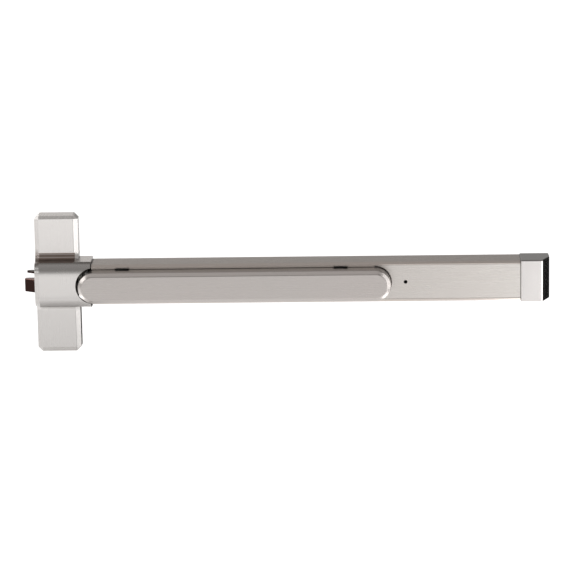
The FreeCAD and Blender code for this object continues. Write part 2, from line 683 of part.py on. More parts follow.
latch_tip_x = "(@cover_left - latch_throw)"
keep("latch_bolt", cut(
    "latch_bolt",
    prism("latch_block", "XY_Plane",
          nose_points(latch_tip_x, "@latch_back", "@latch_front", "latch_tip", "latch_rear"),
          "@latch_low", "latch_height"),
    [rod("latch_socket", "x", "rod_radius + seat_gap", "latch_rear - rod_grip", "latch_rear + 1",
         "@rod_level", "@latch_z")],
))
keep("latch_rod", rod("latch_rod", "x", "rod_radius", "latch_rear - rod_grip", "clevis_start + rod_grip - 2",
                      "@rod_level", "@latch_z"))

# Deadlatch bolt: a thin bolt above the latch, with a round tail through the end of the case.

dead_tip_x = "(@cover_left - dead_reach)"
keep("deadlatch_bolt", joined("deadlatch_bolt", [
    prism("deadlatch_blade", "XY_Plane",
          nose_points(dead_tip_x, "@latch_back + 2", "@latch_front - 1.5", "latch_tip - 1.5", "dead_rear"),
          "@dead_low", "dead_thick"),
    rod("deadlatch_tail", "x", "dead_rod_radius", "dead_rear - 1", "@case_right + 2", "@rod_level", "@dead_z"),
]))


def wound_wire(radius, wire, pitch, rise):
    """Wire swept along a helix that starts half a wire above zero."""
    path = Part.makeHelix(pitch, rise, radius)
    path.translate(Vector(0, 0, wire / 2))
    start = Part.Wire([Part.makeCircle(wire / 2, path.Vertexes[0].Point, Vector(0, 1, 0))])
    return Part.Wire(path.Edges).makePipeShell([start], True, True)


def compression_spring(name, prefix, start, end, depth, z, turn_by_turn):
    """A spring along x between two faces, swept whole, or turn by turn where the turns join to one solid."""
    radius, wire, turns = (number(prefix + tail) for tail in ("_radius", "_wire", "_turns"))
    low, high = number(start), number(end)
    slack = wire / 20
    rise = high - low - 2 * slack - wire
    count = max(round(turns), 1)
    pitch = rise / (count if turn_by_turn else turns)
    spring = doc.addObject("Part::Feature", name)
    spring.Shape = wound_wire(radius, wire, pitch, rise)
    if turn_by_turn:
        turn = wound_wire(radius, wire, pitch, pitch)
        winding = turn.multiFuse([turn.translated(Vector(0, 0, index * pitch)) for index in range(1, count)])
        if len(winding.Solids) == 1:
            spring.Shape = winding
    spring.Placement = Placement(Vector(low + slack, -number(depth), number(z)), Rotation(Vector(0, 1, 0), 90))
    return spring


keep("latch_spring", compression_spring(
    "latch_spring", "latch_spring", "latch_rear", pocket_end, "@rod_level", "@latch_z", True))
keep("deadlatch_spring", compression_spring(
    "deadlatch_spring", "dead_spring", "dead_rear", pocket_end, "@rod_level", "@dead_z", False))

# Clevis on the latch rod: its pin sits in the tie bar's long slot, so the latch can be pushed in alone.

clevis_end = "(clevis_start + clevis_length)"
clevis_pin_x = "(clevis_end_here - 5)".replace("clevis_end_here", clevis_end)
clevis_half = "(clevis_size / 2)"
bar_low_z = "(@latch_z - bar_thick / 2)"
bar_high_z = "(@latch_z + bar_thick / 2)"
keep("latch_clevis", cut(
    "latch_clevis",
    block("clevis_block", ("clevis_start", clevis_end),
          (f"@rod_level - {clevis_half} + 0.5", f"@rod_level + {clevis_half} - 0.5"),
          (f"@latch_z - {clevis_half}", f"@latch_z + {clevis_half}")),
    [
        rod("clevis_socket", "x", "rod_radius + seat_gap", "clevis_start - 1", "clevis_start + rod_grip - 2",
            "@rod_level", "@latch_z"),
        block("clevis_slot", ("clevis_start + rod_grip - 2", f"{clevis_end} + 1"), ("0", "@rod_level + clevis_size"),
              (f"{bar_low_z} - slide_gap", f"{bar_high_z} + slide_gap")),
        rod("clevis_eye", "z", "drive_radius + seat_gap", f"@latch_z - {clevis_half} - 1",
            f"@latch_z + {clevis_half} + 1", clevis_pin_x, "@rod_level"),
    ],
))
keep("clevis_pin", rod("clevis_pin", "z", "drive_radius", f"@latch_z - {clevis_half} - 0.6",
                       f"@latch_z + {clevis_half} + 0.6", clevis_pin_x, "@rod_level"))

# Channel rail: its web stands off the door, and its bevelled lips turn in round the pad.

lip_slant = "(rail_skin * 0.4142)"
rail_points = [
    ("@rail_half", "0"),
    ("@rail_half", "rail_depth - lip_bevel"),
    ("@rail_half - lip_bevel", "rail_depth"),
    ("@lip_edge", "rail_depth"),
    ("@lip_edge", "rail_depth - rail_skin"),
    (f"@rail_half - lip_bevel - {lip_slant}", "rail_depth - rail_skin"),
    ("@rail_inside", f"rail_depth - lip_bevel - {lip_slant}"),
    ("@rail_inside", "@web_front"),
]
back_points = [("@rail_inside", "@web_back"), ("@rail_inside", "0")]
rail_outline = [(f"0 - ({depth})", z) for z, depth in rail_points]
rail_outline += [(f"0 - ({depth})", f"0 - ({z})") for z, depth in reversed(rail_points)]
rail_outline += [(f"0 - ({depth})", f"0 - ({z})") for z, depth in reversed(back_points)]
rail_outline += [(f"0 - ({depth})", z) for z, depth in back_points]
rail_bar = prism("rail_bar", "YZ_Plane", rail_outline, "@rail_start", "@rail_end - @rail_start")

CRANKS = (("left", "@crank_left", "@glide_left"), ("right", "@crank_right", "@glide_right"))
rivet_spots = [
    (f"({pivot} + ear_right / 2 - ear_left / 2)", f"{side} * ({ear} + ear_thick + foot_height / 2) / 2")
    for _, pivot, _ in CRANKS for side, ear in ((-1, "@ear_low"), (1, "@ear_high"))
] + [("@dog_centre", f"{side} * (dog_ear_inside + ear_thick + dog_foot_height / 2) / 2") for side in (-1, 1)]
rail_screw_spots = [
    (x, f"{side} * rail_screw_spacing / 2") for x in ("@screws_left", "@screws_right") for side in (-1, 1)
]
keep("rail_channel", cut(
    "rail_channel", rail_bar,
    [rod(f"rivet_hole_{index}", "y", "rivet_radius + seat_gap", "0", "@web_front + 1", x, z)
     for index, (x, z) in enumerate(rivet_spots)]
    + [rod(f"rail_hole_{index}", "y", "rail_screw_radius + 0.2", "plate_thick - 0.5", "@web_front + 1", x, z)
       for index, (x, z) in enumerate(rail_screw_spots)],
))
keep("rail_screws", joined("rail_screws", [
    screw(f"rail_screw_{index}", "y", "rail_screw_radius - seat_gap", "@web_front", "0.4",
          x, z, "3.4", "2", 1)
    for index, (x, z) in enumerate(rail_screw_spots)
]))
keep("bracket_rivets", joined("bracket_rivets", [
    joined(f"rivet_{index}", [
        rod(f"rivet_{index}_shank", "y", "rivet_radius", "@web_back - 1.3", "@web_front + ear_thick + 1.2", x, z),
        rod(f"rivet_{index}_tail", "y", "2 * rivet_radius", "@web_back - 1.3", "@web_back", x, z),
        rod(f"rivet_{index}_head", "y", "2 * rivet_radius", "@web_front + ear_thick",
            "@web_front + ear_thick + 1.3", x, z),
    ])
    for index, (x, z) in enumerate(rivet_spots)
]))

# Push pad: one drawn tray with round ends, its rear edge just behind the rail's lips.

pad_half = "(pad_height / 2)"
pad_outer = stadium("pad_outer", f"pad_start + {pad_half}", f"@pad_end - {pad_half}", pad_half,
                    "@pad_back", "@pad_front", "pad_bevel")
pad_inner = stadium("pad_inner", f"pad_start + {pad_half}", f"@pad_end - {pad_half}", f"{pad_half} - pad_skin",
                    "@pad_back - 1", "@pad_front - pad_skin", "pad_bevel - pad_skin * 0.5858")
glide_back = "(rail_depth + glide_proud - glide_depth)"
glide_middle = f"({glide_back} + glide_depth / 2)"
peg_holes = [
    rod(f"peg_hole_{name}", "z", "glide_peg + seat_gap", f"0 - {pad_half} - 1", f"{pad_half} + 1", x, glide_middle)
    for name, _, x in CRANKS
]
keep("push_pad", cut("push_pad", pad_outer, [pad_inner] + peg_holes))

for name, _, x in CRANKS:
    span = (f"{x} - glide_length / 2", f"{x} + glide_length / 2")
    for where, side in (("upper", 1), ("lower", -1)):
        outer_face = "(@lip_edge - glide_play)"
        heights = (pad_half, outer_face) if side > 0 else (f"0 - {outer_face}", f"0 - {pad_half}")
        peg_ends = (f"{pad_half} - pad_skin", pad_half) if side > 0 else (f"0 - {pad_half}", f"pad_skin - {pad_half}")
        label = f"pad_glide_{where}_{name}"
        keep(label, joined(label, [
            block(label + "_shoe", span, (glide_back, f"{glide_back} + glide_depth"), heights),
            rod(label + "_peg", "z", "glide_peg", *peg_ends, x, glide_middle),
        ]))

# Tie bar: a flat bar on edge from the clevis to the dogging hook.

bar_start = f"({clevis_end} - 8.5)"
bar_end = "(@lug_start + lug_thick)"
head_top = "(@rod_level + drive_radius + bar_margin + 1)"
bar_points = [
    (bar_start, "0 - @bar_low - 1"),
    (f"{bar_start} + 1", "0 - @bar_low"),
    (bar_end, "0 - @bar_low"),
    (bar_end, "0 - @lug_top"),
    ("@lug_start", "0 - @lug_top"),
    ("@lug_start", "0 - @bar_high"),
    (f"{bar_start} + bar_head + 4", "0 - @bar_high"),
    (f"{bar_start} + bar_head", f"0 - {head_top}"),
    (bar_start, f"0 - {head_top}"),
]
bar_sheet = prism("bar_sheet", "XY_Plane", bar_points, bar_low_z, "bar_thick")


def bar_slot(name, low_x, high_x, low_depth, high_depth, gap):
    """A slot in the tie bar for one pin."""
    return block(name, (f"({low_x}) - drive_radius - {gap}", f"({high_x}) + drive_radius + {gap}"),
                 (f"({low_depth}) - drive_radius - {gap}", f"({high_depth}) + drive_radius + {gap}"),
                 (f"{bar_low_z} - 1", f"{bar_high_z} + 1"))


keep("tie_bar", cut(
    "tie_bar", bar_sheet,
    [bar_slot("clevis_slot_in_bar", clevis_pin_x, f"{clevis_pin_x} + latch_throw", "@rod_level", "@rod_level",
              "running_gap")]
    + [bar_slot(f"link_slot_{name}", f"{pivot} - @pull_half", f"{pivot} - @pull_half", "@link_low", "@link_high",
                "slot_gap") for name, pivot, _ in CRANKS],
))


def crank(name, pivot):
    """A bell crank drawn at mid travel about its own pivot, then turned to its resting angle."""
    body = doc.addObject("PartDesign::Body", name)
    start = "0 - crank_thick / 2"
    half = "crank_arm_width / 2"
    hub = drawing(body, name + "_hub", "XY_Plane", start)
    ring(hub, "0", "0", "crank_hub_radius")
    raised(body, hub, "crank_thick")
    for arm, far in (("push", ("0 - @push_arm", "0")), ("pull", ("0", "@pull_arm"))):
        strip = drawing(body, f"{name}_{arm}_arm", "XY_Plane", start)
        if arm == "push":
            outline(strip, [(far[0], f"0 - {half}"), ("0", f"0 - {half}"), ("0", half), (far[0], half)])
        else:
            outline(strip, [(f"0 - {half}", "0"), (half, "0"), (half, far[1]), (f"0 - {half}", far[1])])
        raised(body, strip, "crank_thick")
        eye = drawing(body, f"{name}_{arm}_eye", "XY_Plane", start)
        ring(eye, *far, half)
        raised(body, eye, "crank_thick")
    peg = drawing(body, name + "_peg", "XY_Plane", "0")
    ring(peg, "0 - peg_reach", "0", "peg_radius")
    raised(body, peg, "crank_thick / 2 + return_spring_wire * 1.6")
    holes = drawing(body, name + "_holes", "XY_Plane", start)
    ring(holes, "0", "0", "pivot_radius + running_gap")
    ring(holes, "0 - @push_arm", "0", "drive_radius + seat_gap")
    ring(holes, "0", "@pull_arm", "drive_radius + seat_gap")
    pocket = body.newObject("PartDesign::Pocket", name + "_bores")
    pocket.Profile = holes
    pocket.Type = "ThroughAll"
    pocket.Reversed = True
    body.Tip = pocket
    body.Placement = Placement(Vector(), Rotation(Vector(0, 0, 1), number("crank_swing")))
    body.setExpression("Placement.Rotation.Angle", formula("crank_swing"))
    return place(body, pivot, "@crank_level", "0")


def crank_bracket(name, pivot):
    """A bracket with two ears for the pivot pin, and a foot on the rail's web."""
    ear_x = (f"{pivot} - ear_left", f"{pivot} + ear_right")
    foot = block(name + "_foot", ear_x, ("@web_front", "@web_front + ear_thick"),
                 ("0 - foot_height / 2", "foot_height / 2"))
    low_ear = block(name + "_low_ear", ear_x, ("@web_front", "@ear_top"), ("0 - @ear_low - ear_thick", "0 - @ear_low"))
    high_ear = block(name + "_high_ear", ear_x, ("@web_front", "@ear_top"), ("@ear_high", "@ear_high + ear_thick"))
    bore = rod(name + "_bore", "z", "pivot_radius + seat_gap", "0 - foot_height / 2", "foot_height / 2",
               pivot, "@crank_level")
    holes = [
        rod(f"{name}_rivet_hole_{index}", "y", "rivet_radius + seat_gap", "@web_front - 1",
            "@web_front + ear_thick + 1", x, z)
        for index, (x, z) in enumerate(rivet_spots) if pivot in x
    ]
    return cut(name, joined(name + "_sheet", [foot, low_ear, high_ear]), [bore] + holes)


def return_spring(name, pivot):
    """A torsion spring on the pivot pin, with one leg on the bracket's foot and one on the crank's peg."""
    radius, wire, turns = (number("return_spring" + tail) for tail in ("_radius", "_wire", "_turns"))
    base = number("crank_thick / 2") + wire / 3
    length = wire * turns * 1.15
    x, depth = number(pivot), number("@crank_level")
    winding = wound_wire(radius, wire, (length - wire) / turns, length - wire)
    winding.translate(Vector(x, -depth, base))
    foot = number("@web_front + ear_thick")
    start = Vector(x + radius, -depth, base + length - wire / 2)
    drop = depth - foot - wire / 2
    leg = Part.makeCylinder(wire / 2, drop, start, Vector(0, 1, 0))
    swing = math.radians(number("crank_swing"))
    along = Vector(-math.cos(swing), -math.sin(swing), 0)
    side = Vector(-math.sin(swing), math.cos(swing), 0)
    offset = number("peg_radius") + wire / 2 + wire / 10
    inward = math.sqrt(radius ** 2 - offset ** 2)
    foot_spot = Vector(x, -depth, base + wire / 2) + side * offset + along * inward
    short_leg = Part.makeCylinder(wire / 2, number("peg_reach") + 1.5 - inward, foot_spot, along)
    spring = doc.addObject("Part::Feature", name)
    spring.Shape = winding.fuse([leg, short_leg])
    return spring


def pad_bracket(name, pivot):
    """A plate inside the pad with an arm whose slot takes the crank's drive pin."""
    front = "(@pad_front - pad_skin)"
    pin_far = f"({pivot} - @push_arm)"
    pin_near = f"({pivot} - @push_arm * cos(crank_swing))"
    middle = f"(({pin_far} + {pin_near}) / 2)"
    pin_depth = "(@crank_level + pad_stroke / 2)"
    plate = block(name + "_plate", (f"{middle} - saddle_length / 2", f"{middle} + saddle_length / 2"),
                  (f"{front} - arm_thick", front), ("0 - saddle_height / 2", "saddle_height / 2"))
    arm = block(name + "_arm", (f"{middle} - arm_width / 2", f"{middle} + arm_width / 2"),
                (f"{pin_depth} - drive_radius - slot_gap - arm_margin", front),
                ("@arm_low", "@arm_low + arm_thick"))
    slot = block(name + "_slot", (f"{pin_far} - drive_radius - slot_gap", f"{pin_near} + drive_radius + slot_gap"),
                 (f"{pin_depth} - drive_radius - slot_gap", f"{pin_depth} + drive_radius + slot_gap"),
                 ("@arm_low - 1", "@arm_low + arm_thick + 1"))
    return cut(name, joined(name + "_sheet", [plate, arm]), [slot])


for name, pivot, _ in CRANKS:
    keep(f"bell_crank_{name}", crank(f"bell_crank_{name}", pivot))
    keep(f"crank_bracket_{name}", crank_bracket(f"crank_bracket_{name}", pivot))
    keep(f"pivot_pin_{name}", rod(f"pivot_pin_{name}", "z", "pivot_radius", "0 - @ear_low - ear_thick - pin_end",
                                  "@ear_high + ear_thick + pin_end", pivot, "@crank_level"))
    keep(f"drive_pin_{name}", rod(f"drive_pin_{name}", "z", "drive_radius", "0 - crank_thick / 2 - 0.6",
                                  "@arm_low + arm_thick + pin_end", f"{pivot} - @push_arm * cos(crank_swing)",
                                  "@crank_level + pad_stroke / 2"))
    keep(f"link_pin_{name}", rod(f"link_pin_{name}", "z", "drive_radius", f"{bar_low_z} - pin_end", "crank_thick / 2 + 0.4",
                                 f"{pivot} - @pull_half", "@link_high"))
    keep(f"return_spring_{name}", return_spring(f"return_spring_{name}", pivot))
    keep(f"pad_bracket_{name}", pad_bracket(f"pad_bracket_{name}", pivot))

# Dogging: a hexagon screw turns a hook in front of the tie bar's lug and holds the pad in.

dog_x = ("@dog_centre - dog_bracket_length / 2", "@dog_centre + dog_bracket_length / 2")
dog_ear = "(dog_ear_inside + ear_thick)"
dog_sheet = joined("dog_sheet", [
    block("dog_foot", dog_x, ("@web_front", "@web_front + ear_thick"), ("0 - dog_foot_height / 2", "dog_foot_height / 2")),
    block("dog_ear_low", dog_x, ("@web_front", "@dog_top"), (f"0 - {dog_ear}", "0 - dog_ear_inside")),
    block("dog_ear_high", dog_x, ("@web_front", "@dog_top"), ("dog_ear_inside", dog_ear)),
    block("dog_plate", dog_x, ("@dog_plate", "@dog_top"), (f"0 - {dog_ear}", dog_ear)),
])
keep("dogging_bracket", cut("dogging_bracket", dog_sheet, [
    rod("dog_bearing", "y", "dog_shaft_radius + running_gap", "@web_front + 0.4", "@dog_top + 1", "@dog_centre", "0"),
] + [
    rod(f"dog_rivet_hole_{index}", "y", "rivet_radius + seat_gap", "@web_front - 1", "@web_front + ear_thick + 1", x, z)
    for index, (x, z) in enumerate(rivet_spots) if x == "@dog_centre"
]))


def hexagon(name, across, back, front):
    """A hexagonal prism towards the user about the dogging screw's axis."""
    hexa = doc.addObject("Part::Prism", name)
    hexa.Polygon = 6
    hexa.setExpression("Circumradius", formula(f"{across} / 2 / cos(30)"))
    hexa.setExpression("Height", formula(f"({front}) - ({back})"))
    hexa.Placement = Placement(Vector(), TURNS["y"])
    return place(hexa, "@dog_centre", back, "0")


keep("dogging_screw", cut(
    "dogging_screw",
    joined("dog_turned", [
        rod("dog_shaft", "y", "dog_shaft_radius", "@web_front + 0.6", "@dog_head_top - 1", "@dog_centre", "0"),
        rod("dog_head", "y", "dog_head_radius", "@dog_head_top - dog_head_thick", "@dog_head_top", "@dog_centre", "0"),
    ]),
    [hexagon("dog_key_socket", "dog_socket", "@dog_head_top - dog_head_thick + 0.5", "@dog_head_top + 1")],
))
finger_near = "(dog_hub_radius - 0.7)"
finger_far = f"({finger_near} + hook_finger)"
hook_span = ("@hook_low", "@hook_low + hook_thick")
keep("dogging_hook", cut(
    "dogging_hook",
    joined("hook_plate", [
        rod("hook_hub", "y", "dog_hub_radius", *hook_span, "@dog_centre", "0"),
        block("hook_root", ("@dog_centre - dog_hub_radius", "@dog_centre + dog_hub_radius - 1.6"), hook_span,
              ("0", finger_far)),
        block("hook_finger_bar", ("@dog_centre - hook_reach", "@dog_centre"), hook_span, (finger_near, finger_far)),
    ]),
    [rod("hook_bore", "y", "dog_shaft_radius + seat_gap", "@hook_low - 1", "@hook_low + hook_thick + 1",
         "@dog_centre", "0")],
))
keep("dogging_ring", cut(
    "dogging_ring",
    rod("ring_disc", "y", "dog_shaft_radius + 1.6", "@dog_plate - ring_thick - 0.2", "@dog_plate - 0.2",
        "@dog_centre", "0"),
    [
        rod("ring_bore", "y", "dog_shaft_radius + seat_gap", "@dog_plate - ring_thick - 1", "@dog_plate + 1",
            "@dog_centre", "0"),
        block("ring_mouth", ("@dog_centre", "@dog_centre + dog_shaft_radius + 3"),
              ("@dog_plate - ring_thick - 1", "@dog_plate + 1"), ("0 - 1.5", "1.5")),
    ],
))

# Filler: a shallow channel between the lips, with a round cut beside the pad and the key hole.

filler_half = "(@lip_edge - filler_play)"
filler_points = [
    (filler_half, "rail_depth"),
    (filler_half, "rail_depth - filler_wall + filler_skin"),
    (f"{filler_half} + filler_foot", "rail_depth - filler_wall + filler_skin"),
    (f"{filler_half} + filler_foot", "rail_depth - filler_wall"),
    (f"{filler_half} - filler_skin", "rail_depth - filler_wall"),
    (f"{filler_half} - filler_skin", "rail_depth - filler_skin"),
]
filler_outline = [(f"0 - ({depth})", z) for z, depth in filler_points]
filler_outline += [(f"0 - ({depth})", f"0 - ({z})") for z, depth in reversed(filler_points)]
round_centre = f"(@pad_end - {pad_half})"
filler_bar = prism("filler_bar", "YZ_Plane", filler_outline, round_centre, f"@rail_end - {round_centre}")
keep("filler_plate", cut("filler_plate", filler_bar, [
    rod("filler_cut", "y", f"{pad_half} + filler_gap", "0", "rail_depth + 1", round_centre, "0"),
    rod("key_hole", "y", "dog_hole_radius", "rail_depth - filler_wall", "rail_depth + 1", "@dog_centre", "0"),
]))

# End bracket and end cap.

end_half = "@end_plate_half"
end_sheet = prism(
    "end_sheet", "XZ_Plane",
    [("@end_plate_start", f"0 - {end_half}"), ("@end_plate_reach", f"0 - {end_half}"),
     ("@end_plate_reach", end_half), ("@end_plate_start", end_half)],
    "0", "plate_thick",
    holes=[("@end_bolts", f"{side} * end_bolt_spacing / 2", "bolt_radius") for side in (-1, 1)]
    + [("@screws_right", f"{side} * rail_screw_spacing / 2", "rail_screw_radius") for side in (-1, 1)],
)
end_tab = block("end_tab", ("@rail_end + 2", "@end_plate_reach - 2"), ("0", "end_tab_depth"),
                (f"0 - {end_half}", f"plate_thick - {end_half}"))
cap_screw_x = "((@rail_end + @end_plate_reach) / 2)"
cap_screw_depth = "(end_tab_depth / 2 + plate_thick / 2)"
keep("end_bracket", cut("end_bracket", joined("end_bracket_body", [end_sheet, end_tab]), [
    rod("cap_tap", "z", "trim_screw_radius", f"0 - {end_half} - 1", f"plate_thick - {end_half} + 1",
        cap_screw_x, cap_screw_depth),
]))


def cap_body(name, inset, back, start):
    """The end cap's block, drawn in by an inset, with a sloping far face and rounded edges."""
    half = f"(@cap_half - {inset})"
    slope = "atan(cap_slope_run / cap_slope_depth)"
    slip = f"({inset} / cos({slope}) - {inset} * tan({slope}))"
    body = prism(
        name, "XY_Plane",
        [
            (start, f"0 - ({back})"),
            (start, f"{inset} - @cap_front"),
            (f"cap_end - cap_slope_run - {slip}", f"{inset} - @cap_front"),
            (f"cap_end - {inset}", f"cap_slope_depth - @cap_front + {slip} * cap_slope_depth / cap_slope_run"),
            (f"cap_end - {inset}", f"0 - ({back})"),
        ],
        f"0 - {half}", f"2 * {half}",
    )
    doc.recompute()
    front = number("@cap_front") - number(inset)
    level = number(half)
    first = number(start)
    base = body.Tip
    edges = []
    for index, edge in enumerate(base.Shape.Edges, start=1):
        middle = edge.CenterOfMass
        on_front = abs(middle.y + front) < 1e-6
        on_level = abs(abs(middle.z) - level) < 1e-6
        on_back = abs(middle.y + number(back)) < 1e-6
        on_start = abs(middle.x - first) < 1e-6
        if not on_start and not on_back and (on_level or on_front):
            edges.append(f"Edge{index}")
    fillet = body.newObject("PartDesign::Fillet", name + "_round")
    fillet.Base = (base, edges)
    fillet.setExpression("Radius", formula(f"cap_round - {inset} * 0.5"))
    body.Tip = fillet
    return body


cap_outer = cap_body("cap_outer", "0", "0", "@cap_start")
cap_inner = cap_body("cap_inner", "cap_skin", "0 - 1", "@cap_start - 1")
keep("end_cap", cut("end_cap", cap_outer, [
    cap_inner,
    rod("cap_hole", "z", "trim_screw_radius + 0.2", "0 - @cap_half - 1", "0", cap_screw_x, cap_screw_depth),
]))
keep("end_cap_screw", screw("end_cap_screw", "z", "trim_screw_radius - seat_gap", "0 - @cap_half",
                            f"plate_thick - {end_half} + 2", cap_screw_x, cap_screw_depth, "3.2", "1.8", -1))
keep("cover_screw", screw("cover_screw", "z", "trim_screw_radius - seat_gap", "@cover_bottom",
                          f"{plate_bottom} + plate_thick + 2", "0", cover_screw_depth, "3.2", "1.8", -1))

doc.recompute()
broken = [item.Label for item in doc.Objects if "Invalid" in item.State or "Error" in item.State]
if broken:
    raise RuntimeError(f"features that failed: {broken}")
for name, item in parts.items():
    shape = item.Shape
    if shape.isNull() or not shape.isValid() or not shape.Solids:
        raise RuntimeError(f"{name} has no sound shape")

os.makedirs("parts", exist_ok=True)
for name, item in parts.items():
    item.Shape.exportStep(f"parts/{name}.step")
    print(f"{name}: {len(item.Shape.Solids)} solids, {item.Shape.Volume:.0f} cubic mm")
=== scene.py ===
from math import cos, pi, radians, sin

import bmesh
import bpy
from mathutils import Matrix, Vector


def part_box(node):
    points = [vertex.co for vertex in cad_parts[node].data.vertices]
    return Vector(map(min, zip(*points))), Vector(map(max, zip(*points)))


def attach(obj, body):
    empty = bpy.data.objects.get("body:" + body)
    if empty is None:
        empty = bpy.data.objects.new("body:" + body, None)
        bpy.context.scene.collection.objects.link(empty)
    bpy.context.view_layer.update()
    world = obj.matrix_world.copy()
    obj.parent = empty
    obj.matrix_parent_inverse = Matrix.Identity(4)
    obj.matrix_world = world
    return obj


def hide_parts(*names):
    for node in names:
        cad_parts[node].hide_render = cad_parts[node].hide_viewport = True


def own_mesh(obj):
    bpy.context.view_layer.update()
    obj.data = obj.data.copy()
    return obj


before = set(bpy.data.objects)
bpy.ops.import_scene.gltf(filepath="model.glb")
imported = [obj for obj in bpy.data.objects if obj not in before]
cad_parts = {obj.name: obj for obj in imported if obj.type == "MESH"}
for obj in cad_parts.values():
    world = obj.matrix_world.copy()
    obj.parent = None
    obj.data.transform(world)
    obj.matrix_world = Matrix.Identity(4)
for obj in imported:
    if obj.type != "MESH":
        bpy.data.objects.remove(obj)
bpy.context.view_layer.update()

mm = 0.001
print("frame loaded:", len(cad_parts), "nodes")


# small helpers for modelling; depth is measured from the door towards the user, so it is -y

def clearSelection():
    if bpy.context.object and bpy.context.object.mode != "OBJECT":
        bpy.ops.object.mode_set(mode="OBJECT")
    bpy.ops.object.select_all(action="DESELECT")


def useOnly(piece):
    clearSelection()
    piece.select_set(True)
    bpy.context.view_layer.objects.active = piece


def addBlock(name, x, depth, z):
    # a box between two values of x, of depth and of z
    clearSelection()
    bpy.ops.mesh.primitive_cube_add(size=1, location=(sum(x) / 2, -sum(depth) / 2, sum(z) / 2))
    piece = bpy.context.object
    piece.name = name
    piece.scale = (x[1] - x[0], depth[1] - depth[0], z[1] - z[0])
    bpy.ops.object.transform_apply(location=True, rotation=True, scale=True)
    return piece


def addRod(name, radius, start, end, steps=48):
    # a cylinder between two points
    clearSelection()
    start, end = Vector(start), Vector(end)
    turn = (end - start).to_track_quat("Z", "Y").to_euler()
    bpy.ops.mesh.primitive_cylinder_add(
        vertices=steps, radius=radius, depth=(end - start).length, location=(start + end) / 2, rotation=turn)
    piece = bpy.context.object
    piece.name = name
    bpy.ops.object.transform_apply(location=True, rotation=True, scale=True)
    return piece


def choose(kind, test):
    # in edit mode: select the vertices, edges or faces that pass the test, and nothing else
    bpy.ops.mesh.select_mode(type={"verts": "VERT", "edges": "EDGE", "faces": "FACE"}[kind])
    bpy.ops.mesh.select_all(action="DESELECT")
    mesh = bmesh.from_edit_mesh(bpy.context.object.data)
    for item in getattr(mesh, kind):
        if test(item):
            item.select_set(True)
    mesh.select_flush_mode()
    bmesh.update_edit_mesh(bpy.context.object.data)


def middle(item):
    if isinstance(item, bmesh.types.BMFace):
        return item.calc_center_median()
    return sum((corner.co for corner in item.verts), Vector()) / len(item.verts)


def isNear(value, goal, room=0.01 * mm):
    return abs(value - goal) < room


def cutWith(piece, tool, how="DIFFERENCE"):
    useOnly(piece)
    modifier = piece.modifiers.new("cut", "BOOLEAN")
    modifier.operation = how
    modifier.solver = "MANIFOLD"
    modifier.object = tool
    bpy.ops.object.modifier_apply(modifier=modifier.name)
    bpy.data.objects.remove(tool, do_unlink=True)


def thicken(piece, wall):
    # give an open skin its wall, on its inner side
    useOnly(piece)
    modifier = piece.modifiers.new("wall", "SOLIDIFY")
    modifier.thickness = wall
    modifier.offset = -1
    modifier.use_even_offset = True
    bpy.ops.object.modifier_apply(modifier=modifier.name)


def roundRim(piece, centre, radius, depthFrom, width, steps=4):
    # round the outer edge of a round cut, whose axis stands out from the door at centre (x, z)
    def onCut(corner):
        reach = Vector((corner.co.x - centre[0], corner.co.z - centre[1])).length
        return isNear(reach, radius, 0.03 * mm) and -corner.co.y > depthFrom

    def isOuter(face, z):                     # the front, or a flank that faces away from the middle
        return face.normal.y < -0.2 or abs(face.normal.x) < 0.1 and face.normal.z * z > 0.5 * abs(z)

    useOnly(piece)
    bpy.ops.object.mode_set(mode="EDIT")
    choose("edges", lambda edge: all(onCut(corner) for corner in edge.verts)
           and any(isOuter(face, middle(edge).z) for face in edge.link_faces)
           and edge.calc_face_angle(0) > radians(30))
    bpy.ops.mesh.bevel(offset=width, segments=steps, profile=0.5, affect="EDGES")
    bpy.ops.object.mode_set(mode="OBJECT")


def cutBore(piece, size):
    # an upright screw bore through a lower wall
    x, depth = size["boreAt"]
    low, high = size["boreEnds"]
    cutWith(piece, addRod("screwBore", size["boreRadius"], (x, -depth, low), (x, -depth, high), 40))


def finishPiece(piece, material, body, nodes, edgeRound=0.35 * mm, edgeAngle=14, smoothAngle=12, steps=2):
    # soften the edges, shade, and hand the piece to its body
    useOnly(piece)
    bpy.ops.object.mode_set(mode="EDIT")
    bpy.ops.mesh.select_all(action="SELECT")
    bpy.ops.mesh.remove_doubles(threshold=0.005 * mm)
    bpy.ops.mesh.normals_make_consistent(inside=False)
    bpy.ops.object.mode_set(mode="OBJECT")
    if edgeRound:
        soften = piece.modifiers.new("soften", "BEVEL")
        soften.width = edgeRound
        soften.segments = steps
        soften.limit_method = "ANGLE"
        soften.angle_limit = radians(edgeAngle)
        bpy.ops.object.modifier_apply(modifier=soften.name)
    bpy.ops.object.shade_smooth_by_angle(angle=radians(smoothAngle))
    even = piece.modifiers.new("even", "WEIGHTED_NORMAL")
    even.keep_sharp = True
    bpy.ops.object.modifier_apply(modifier=even.name)
    piece.data.materials.clear()
    piece.data.materials.append(material)
    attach(piece, body)
    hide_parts(*nodes)


# shader maths: a wrapped socket is added, multiplied and divided like a number

